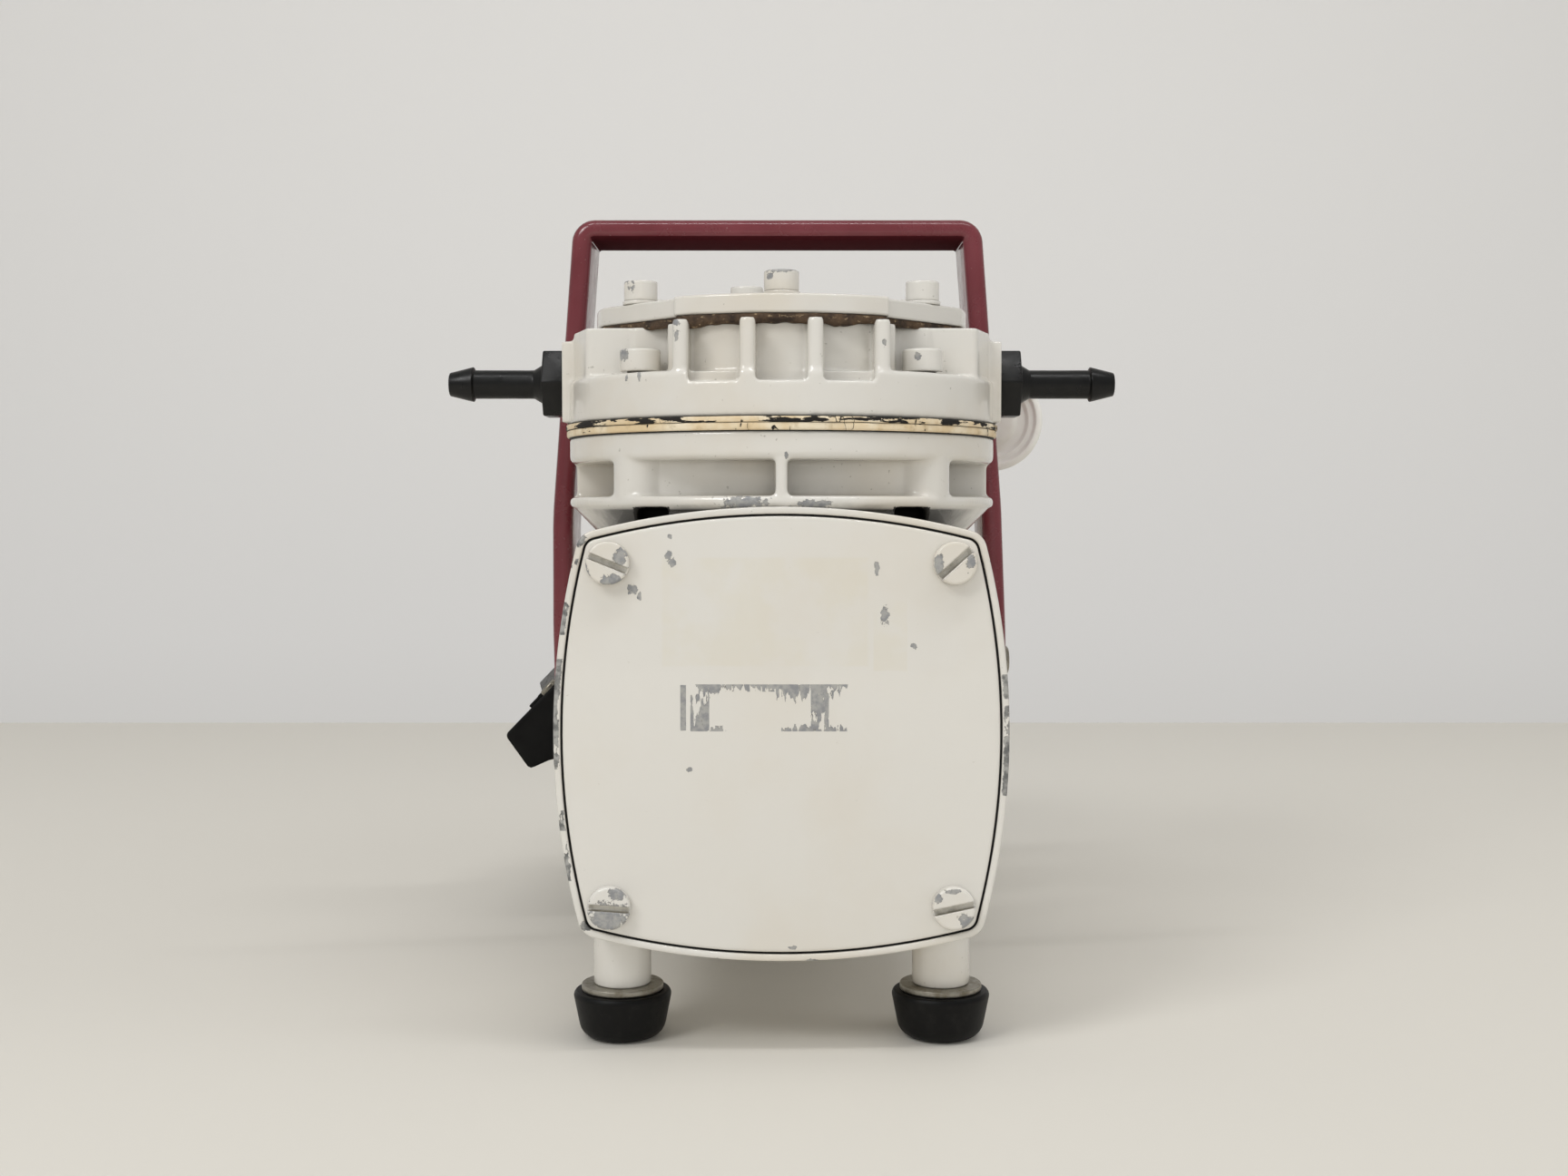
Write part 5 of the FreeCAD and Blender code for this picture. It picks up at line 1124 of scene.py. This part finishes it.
@dataclass
class FrontCover:
    """Flush cover plate with its rubber seal and four slotted screws."""

    palette: Palette
    case: Crankcase
    seal_gap: float = 0.5
    thick: float = 4.0
    setback: float = 0.5
    screw_pitch: float = 40.4
    slot_reach: float = 4.7
    head_tall: float = 3.0
    shank: float = 3.0

    def build_plate(self) -> Object:
        """Build the plate with its softly rounded front edge."""
        edge = self.case.rim_wall + self.seal_gap
        mesh = bmesh.new()
        stations = [(edge, self.thick), (edge, 0.7), (edge + 0.12, 0.25), (edge + 0.45, 0.06),
                    (edge + 1.0, 0.0)]
        loft(mesh, [self.case.ring(inset, depth) for inset, depth in stations], cap_end=True)
        item = to_object("front_cover_plate", mesh, 50)
        return fit_out(item, self.palette.cover, ["front_cover"])

    def build_seal(self) -> Object:
        """Build the seal whose edge shows as a black line round the plate."""
        outer, inner = self.case.rim_wall - 0.02, self.case.rim_wall + self.seal_gap + 0.02
        mesh = bmesh.new()
        stations = [(outer, 4.9), (outer, self.setback + 0.2), (outer + 0.2, self.setback),
                    (inner - 0.2, self.setback), (inner, self.setback + 0.2), (inner, 4.9)]
        loft(mesh, [self.case.ring(inset, depth) for inset, depth in stations])
        item = to_object("front_cover_seal", mesh, 50)
        return fit_out(item, self.palette.seal, ["front_cover_gasket"])

    def build_screws(self) -> Object:
        """Build the painted slotted screws."""
        mesh = node_copy("front_cover_screws")
        trim(mesh, everything(mesh), (0, PLACE.front + self.shank, 0), (0, -1, 0))
        item = cast_skin("cover_slotted_screws", mesh, 0.16, 2, 0.5)
        fit_out(item, self.palette.slotted, ["front_cover_screws"])
        item.data.materials.append(self.palette.bare)
        for face in item.data.polygons:
            across = abs(face.center.x) / MM - self.screw_pitch
            up = abs(face.center.z / MM - PLACE.axis_z) - self.screw_pitch
            sunk = face.center.y / MM > PLACE.front - self.head_tall + 0.25
            face.material_index = int(sunk and math.hypot(across, up) < self.slot_reach)
        return item

    def build(self) -> None:
        """Build the cover, its seal and its screws."""
        self.build_plate()
        self.build_seal()
        self.build_screws()


@dataclass
class PumpHead:
    """Finned head casting with its gasket, cover plate, screws and the diaphragm's edge."""

    palette: Palette
    ring_radius: float = 56.4
    plate_radius: float = 48.4
    lobe_half: float = 26.0
    lobe_step: float = 37.0
    wing_half: float = 16.0
    cover_screw_tall: float = 5.0
    clamp_screw_tall: float = 5.5
    screw_sink: float = 0.3
    ring_bore: float = 37.0
    edge_bore: float = 54.0
    edge_spread: float = 0.22
    line_inset: float = 0.55
    fray_from: float = 40.0
    fray_wide: float = 6.0
    pocket_radius: float = 11.0
    pocket_pitch: float = 20.0
    chamber_tall: float = 5.0

    def build_ring(self) -> None:
        """Build the painted ring, the diaphragm's edge above it and the dark line under it."""
        low, high = (corner[2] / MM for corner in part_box("diaphragm_ring"))
        rubber_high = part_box("diaphragm")[1][2] / MM
        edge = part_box("diaphragm")[1][0] / MM + self.edge_spread
        centre = (0, PLACE.pump_y, 0)
        radius, bore = self.ring_radius, self.edge_bore
        mesh = bmesh.new()
        spin(mesh, Axis.UP, centre, [(self.ring_bore, low), (radius, low + 0.05, 0.5),
                                     (radius, high, 0.45), (self.ring_bore, high)], 360, 3)
        self.roughen(mesh, 0.18, 5.0)
        item = to_object("diaphragm_ring_painted", mesh, 60)
        fit_out(item, self.palette.ring, ["diaphragm_ring"])
        mesh = bmesh.new()
        spin(mesh, Axis.UP, centre, [(bore, high), (edge, high, 0.3), (edge, rubber_high, 0.3),
                                     (bore, rubber_high)], 360, 2)
        self.roughen(mesh, 0.15, 3.0)
        item = to_object("diaphragm_edge", mesh, 60)
        fit_out(item, self.palette.seam)
        mesh = bmesh.new()
        line = radius - self.line_inset
        spin(mesh, Axis.UP, centre, [(bore, low - 0.15), (line, low - 0.15), (line, low + 0.1),
                                     (bore, low + 0.1)], 180)
        fit_out(to_object("ring_joint_line", mesh, 60), self.palette.seal)

    @staticmethod
    def roughen(mesh: BMesh, amount: float, size: float, inside: float = 44.0) -> None:
        """Push the points past a radius in or out unevenly, by an amount, all in millimetres."""
        axis = Vector((0, PLACE.pump_y * MM, 0))
        for vert in mesh.verts:
            away = (vert.co - axis) * Vector((1, 1, 0))
            if away.length > inside * MM:
                shift = noise.noise(vert.co / (size * MM)) * amount * MM
                vert.co += away.normalized() * shift

    def build_casting(self) -> Object:
        """Build the head casting, its valve pockets filled."""
        mesh = node_copy("head_body")
        low, high = (corner[2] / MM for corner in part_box("head_body"))
        floor = low + self.chamber_tall
        for side in (-self.pocket_pitch, self.pocket_pitch):
            prism(mesh, self.pocket_radius, (side, PLACE.pump_y, floor), high - floor - 0.5)
        item = cast_skin("head_casting", mesh, 0.5, 5, 0.38)
        return fit_out(item, self.palette.casting, ["head_body"])

    def plate_points(self, steps: int = 18) -> list:
        """Give the cover plate's outline as pairs about the pump axis, in millimetres."""
        radius, lobe, step = self.plate_radius, self.lobe_half, self.lobe_step
        side, front = math.asin(self.wing_half / radius), math.asin(lobe / radius)
        sweep = [2 * i / steps - 1 for i in range(steps + 1)]
        half = [(lobe, -step)]
        half += [(radius * math.cos(side * part), radius * math.sin(side * part)) for part in sweep]
        half += [(lobe, step)]
        half += [(radius * math.sin(-front * part), radius * math.cos(front * part)) for part in sweep]
        return half + [(-x, -y) for x, y in half]

    def build_cover(self) -> None:
        """Build the cover plate and the ragged gasket under it."""
        low, high = (corner[2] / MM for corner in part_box("head_cover"))
        mesh = bmesh.new()
        outline = self.plate_points()
        rings = [[Vector((x, PLACE.pump_y + y, z)) * MM for x, y in outline] for z in (low, high)]
        loft(mesh, rings, cap_start=True, cap_end=True)
        item = bevelled(to_object("head_cover_plate", mesh, 35), 0.7, 4)
        fit_out(item, self.palette.casting, ["head_cover"])
        item = recast("head_gasket", "head_fibre_gasket", (0.45, 1, 1), self.palette.gasket)
        for vert in item.data.vertices:
            self.fray(vert, low)

    def fray(self, vert: MeshVertex, top: float) -> None:
        """Wear a point of the gasket's rim back unevenly and let its lower edge hang."""
        away = Vector((vert.co.x, vert.co.y - PLACE.pump_y * MM, 0))
        outside = min(max(0.0, (away.length - self.fray_from * MM) / (self.fray_wide * MM)), 1.0)
        # Waves of 8.5 mm and of 2.8 mm; the edge hangs fully 1.2 mm under the gasket's top.
        coarse = noise.noise(away / (8.5 * MM))
        fine = noise.noise(vert.co / (2.8 * MM))
        below = max(0.0, min(1.0, (top * MM - vert.co.z) / (1.2 * MM)))
        vert.co += away.normalized() * (0.3 + 0.4 * coarse + 0.3 * fine) * MM * outside
        vert.co.z -= below * (0.8 + 2.0 * max(0.0, coarse + 0.15) + 0.5 * fine) * MM * outside

    def build_screws(self) -> None:
        """Build the socket screws and washers, all painted over."""
        for node, name, tall in (("head_cover_screws", "head_cover_socket_screws", self.cover_screw_tall),
                                 ("head_clamp_screws", "head_clamp_socket_screws", self.clamp_screw_tall)):
            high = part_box(node)[1][2] / MM
            mesh = node_copy(node)
            trim(mesh, everything(mesh), (0, 0, high - tall - self.screw_sink), (0, 0, 1))
            item = cast_skin(name, mesh, 0.24, 3, 0.7)
            fit_out(item, self.palette.screws, [node])
        recast("head_cover_washers", "head_cover_flat_washers", (0.25, 2, 0.7), self.palette.screws)

    def build(self) -> None:
        """Build all pieces of the head."""
        self.build_ring()
        self.build_casting()
        self.build_cover()
        self.build_screws()


@dataclass
class HoseNozzles:
    """Barbed black nozzles at both sides of the head."""

    palette: Palette
    port_z: float = 162.0
    boss: float = 56.5
    hex_across: float = 17.0
    hex_long: float = 6.0
    hex_edge: float = 0.45
    stem: float = 3.75
    stem_long: float = 18.8
    barb: float = 4.6
    tip: float = 3.05
    barb_long: float = 6.3
    bore: float = 2.2
    bore_deep: float = 12.0
    collar: float = 6.2

    def build_one(self, side: int, name: str, node: str) -> Object:
        """Build one nozzle.

        Args:
            side: 1 at the right, -1 at the left.
            name: Name of the piece.
            node: Node that it stands for.

        Returns:
            The nozzle.
        """
        mesh = bmesh.new()
        radius = self.hex_across / math.sqrt(3)
        prism(mesh, radius, (0, 0, 0), self.hex_long, 6, Axis.RIGHT, math.pi / 6 + math.pi / 2)
        bmesh.ops.bevel(mesh, geom=mesh.edges[:], offset=self.hex_edge * MM, offset_type="OFFSET",
                        segments=3, profile=0.5, affect="EDGES", material=-1)
        end = self.hex_long + self.stem_long
        last = end + self.barb_long
        spin(mesh, Axis.RIGHT, (0, 0, 0),
             [(self.collar, 0.2), (self.collar, self.hex_long + 0.2, 0.3),
              (self.stem + 1.4, self.hex_long + 0.5), (self.stem, self.hex_long + 2.8, 1.2),
              (self.stem, end - 0.4, 0.3), (self.barb, end, 0.25), (self.tip, last, 0.4),
              (self.bore, last, 0.2), (self.bore, last - self.bore_deep), (0, last - self.bore_deep)], 64)
        turn = Matrix.Rotation(0.0 if side > 0 else math.pi, 4, "Z")
        move = Matrix.Translation(Vector((side * self.boss, PLACE.pump_y, self.port_z)) * MM)
        mesh.transform(move @ turn)
        item = to_object(name, mesh, 40)
        return fit_out(item, self.palette.fitting, [node])

    def build(self) -> None:
        """Build both nozzles."""
        self.build_one(1, "outlet_hose_nozzle", "outlet_nozzle")
        self.build_one(-1, "inlet_hose_nozzle", "inlet_nozzle")


@dataclass
class Handle:
    """Carrying handle bent from flat maroon strip, with its screws."""

    palette: Palette
    thick: float = 5.8
    edge: float = 2.5
    lean: float = -1.3
    low_z: float = 60.0
    low_reach: float = 65.5
    bend_z: float = 95.0
    mid_reach: float = 64.8
    mid_z: float = 128.0
    top_reach: float = 58.7
    top_z: float = 212.1
    corner: float = 3.8
    lean_tall: float = 60.0
    bow: float = 160.0
    facing_down: float = 0.55

    def path(self) -> list:
        """Give the strip's middle line, from the left end to the right end."""
        half = self.thick / 2
        right = [(self.top_reach - half, self.top_z - half, self.corner),
                 (self.mid_reach - half, self.mid_z, self.bow),
                 (self.low_reach - half, self.bend_z, self.bow), (self.low_reach - half, self.low_z)]
        left = [(-corner[0],) + corner[1:] for corner in right[::-1]]
        # The strip has been pushed a little to one side in use, more at its top than at its ends.
        return [(x + self.lean * min(1.0, (z - self.low_z) / self.lean_tall), z)
                for x, z in rounded(left + right, 8)]

    def section(self, half_wide: float) -> list:
        """Give the strip's cross-section as pairs across and along the pump."""
        half = self.thick / 2
        corners = [(-half, -half_wide, self.edge), (half, -half_wide, self.edge),
                   (half, half_wide, self.edge), (-half, half_wide, self.edge)]
        return rounded(corners, 5, closed=True)

    def build(self) -> None:
        """Build the strip and its button screws."""
        low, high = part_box("handle")
        middle = (low[1] + high[1]) / 2 / MM
        half_wide = (high[1] - low[1]) / 2 / MM
        path = [Vector(point) for point in self.path()]
        rings = []
        for index, point in enumerate(path):
            back = path[max(index - 1, 0)]
            ahead = path[min(index + 1, len(path) - 1)]
            run = (ahead - back).normalized()
            across = Vector((run.y, -run.x))
            rings.append([Vector((point.x + across.x * a, middle + y, point.y + across.y * a)) * MM
                          for a, y in self.section(half_wide)])
        mesh = bmesh.new()
        loft(mesh, rings, cap_start=True, cap_end=True)
        item = to_object("handle_strip", mesh, 50)
        fit_out(item, self.palette.handle, ["handle"])
        # Faces that face down get the darker maroon copy: painted shade under the strip.
        item.data.materials.append(self.palette.handle_underside_shade)
        for face in item.data.polygons:
            face.material_index = int(face.normal.z < -self.facing_down)
        recast("handle_screws", "handle_button_screws", (0.3, 1, 0.6), self.palette.zinc)


@dataclass
class Feet:
    """Rubber feet with their washers."""

    palette: Palette
    offset: float = 39.0
    depths: tuple = (18.0, 190.0)
    tall: float = 11.5
    washer: float = 1.6

    def build(self) -> None:
        """Build the four feet and washers."""
        rubber, washers = bmesh.new(), bmesh.new()
        for depth in self.depths:
            for side in (-1, 1):
                centre = (side * self.offset, PLACE.front + depth, 0)
                spin(rubber, Axis.UP, centre,
                     [(4.6, 3.8), (5.4, 3.6), (5.6, 0.0, 0.4), (9.9, 0.0, 4.2), (12.0, 10.6, 1.4),
                      (11.4, self.tall, 0.5), (2.6, self.tall)], 64, 6)
                spin(washers, Axis.UP, centre,
                     [(2.6, self.tall), (10.0, self.tall, 0.4), (10.0, self.tall + self.washer, 0.3),
                      (2.6, self.tall + self.washer)], 64)
        feet = to_object("moulded_rubber_feet", rubber)
        fit_out(feet, self.palette.rubber, ["rubber_feet"])
        plates = to_object("plated_foot_washers", washers)
        fit_out(plates, self.palette.zinc, ["foot_washers"])


@dataclass
class Capacitor:
    """White capacitor can behind the head's right side."""

    palette: Palette
    side: float = 63.3
    height: float = 156.1
    radius: float = 15.3
    can_long: float = 66.0
    stud: float = 4.0

    def build(self) -> None:
        """Build the can with its stepped front end and its stud behind."""
        front, end = (corner[1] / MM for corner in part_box("capacitor"))
        back = front + self.can_long
        r = self.radius
        mesh = bmesh.new()
        spin(mesh, Axis.BACK, (self.side, 0, self.height),
             [(0, front + 0.8), (r * 0.42, front + 0.9, 2), (r * 0.5, front + 1.9, 1),
              (r * 0.66, front + 2.0, 0.6), (r * 0.72, front + 1.0, 0.6), (r * 0.82, front + 1.2, 0.6),
              (r * 0.86, front, 0.5), (r, front + 0.2, 1.8), (r, back - 0.2, 2.0),
              (self.stud + 0.2, back), (self.stud, end, 0.5), (0, end)], 96, 5)
        fit_out(to_object("capacitor_can", mesh, 45), self.palette.can, ["capacitor"])
        recast("capacitor_bracket", "capacitor_bracket_part", (0.35, 1, 0.5), self.palette.motor)
        recast("capacitor_nut", "capacitor_nut_part", (0.35, 1, 0.5), self.palette.zinc)


@dataclass
class SwitchBox:
    """Black moulded box with rocker switch and cable gland."""

    palette: Palette

    def build(self) -> None:
        """Build the box and its fittings with soft moulded edges."""
        for node, name, voxel, keep in (("switch_box", "switch_box_moulding", 0.5, 0.35),
                                        ("switch_frame", "switch_bezel", 0.35, 0.4),
                                        ("cable_gland", "cable_gland_base", 0.35, 0.5),
                                        ("cable_gland_cap", "cable_gland_nut", 0.35, 0.5)):
            recast(node, name, (voxel, 3, keep), self.palette.box)
        recast("switch_rocker", "switch_rocker_key", (0.3, 2, 0.6), self.palette.rocker,
               Body.ROCKER)


@dataclass
class CarriedNodes:
    """Nodes whose own shape is kept, dressed with their finish."""

    palette: Palette

    def build(self) -> None:
        """Dress every node that still shows its own mesh."""
        p = self.palette
        by_slot = {"cream_enamel": p.motor, "painted_steel_fasteners": p.screws, "maroon_enamel": p.handle,
                   "zinc_steel": p.zinc, "ground_steel": p.steel, "grey_iron": p.iron,
                   "bare_aluminium": p.alloy, "copper_windings": p.copper, "black_rubber": p.rubber,
                   "brown_fibre": p.gasket, "valve_plastic": p.acetal, "black_plastic": p.box,
                   "black_gloss_plastic": p.rocker, "grey_plastic_fan": p.fan, "white_plastic": p.can}
        for part in frame["record"]["subparts"]:
            item = frame["nodes"][part["node"]]
            item.data.materials.clear()
            item.data.materials.append(by_slot[part["material_slot"]])
        LOG.info("dressed %d nodes", len(frame["nodes"]))


@dataclass
class Studio:
    """Pale floor and backdrop, soft light and the camera at the photograph's viewing angle."""

    lens: float = 41.46
    eye_height: float = 128.2
    eye_distance: float = 421.0
    eye_side: float = 0.6
    pitch: float = 2.39

    def build_stage(self) -> None:
        """Build the floor, which ends like a table, and the wall well behind it."""
        for name, low, high, code in (("floor", (-3000, -2000, -20), (3000, 550, 0), "dfdbd2"),
                                      ("backdrop", (-4000, 1300, -2000), (4000, 1350, 4000), "fefcf9")):
            mesh = bmesh.new()
            block(mesh, low, high)
            item = to_object(name, mesh)
            material = bpy.data.materials.new(name + " plain paint")
            material.use_nodes = True
            shader = material.node_tree.nodes["Principled BSDF"]
            shader.inputs["Base Color"].default_value = linear(code)
            shader.inputs["Roughness"].default_value = 0.6
            item.data.materials.append(material)

    def build_lights(self) -> None:
        """Build the soft lamps and the even surrounding light."""
        world = bpy.data.worlds.new("studio")
        world.use_nodes = True
        bpy.context.scene.world = world
        background = world.node_tree.nodes["Background"]
        background.inputs["Color"].default_value = linear("e9e9e8")
        background.inputs["Strength"].default_value = 0.50
        # Name, place in metres, width, depth, power in watts, and whether glossy faces mirror it.
        lamps = (("window", (-0.8, -1.0, 1.1), 0.5, 0.5, 7.5, True),
                 ("tube", (0.1, -0.5, 1.4), 1.3, 0.05, 5.6, True),
                 ("front", (0.0, -1.5, 0.25), 1.2, 0.5, 4.2, False),
                 ("side", (1.1, -0.3, 0.7), 0.8, 0.8, 2.5, False))
        for name, spot, wide, deep, power, mirrored in lamps:
            lamp = bpy.data.lights.new(name, "AREA")
            lamp.shape = "RECTANGLE"
            lamp.size = wide
            lamp.size_y = deep
            lamp.energy = power
            item = bpy.data.objects.new(name, lamp)
            item.location = spot
            aim = Vector((0, 0, 0.1)) - Vector(spot)
            item.rotation_euler = aim.to_track_quat("-Z", "Y").to_euler()
            item.visible_glossy = mirrored
            bpy.context.scene.collection.objects.link(item)

    def build_camera(self) -> None:
        """Build the camera as the photograph was taken."""
        data = bpy.data.cameras.new("camera")
        data.lens = self.lens
        data.sensor_width = 36.0
        data.clip_start = 0.01
        item = bpy.data.objects.new("camera", data)
        item.location = Vector((self.eye_side, PLACE.front - self.eye_distance, self.eye_height)) * MM
        item.rotation_euler = (math.radians(90 - self.pitch), 0, 0)
        bpy.context.scene.collection.objects.link(item)
        bpy.context.scene.camera = item

    def build(self) -> None:
        """Build stage, lights and camera."""
        self.build_stage()
        self.build_lights()
        self.build_camera()
        bpy.context.scene.view_settings.view_transform = "Standard"


def main() -> None:
    """Build the scene."""
    logging.basicConfig(level=logging.INFO, format="%(message)s")
    palette = Palette()
    CarriedNodes(palette).build()
    case = Crankcase(palette)
    case.build()
    FrontCover(palette, case).build()
    PumpHead(palette).build()
    HoseNozzles(palette).build()
    Handle(palette).build()
    Feet(palette).build()
    Capacitor(palette).build()
    SwitchBox(palette).build()
    Studio().build()


if __name__ == "__main__":
    main()
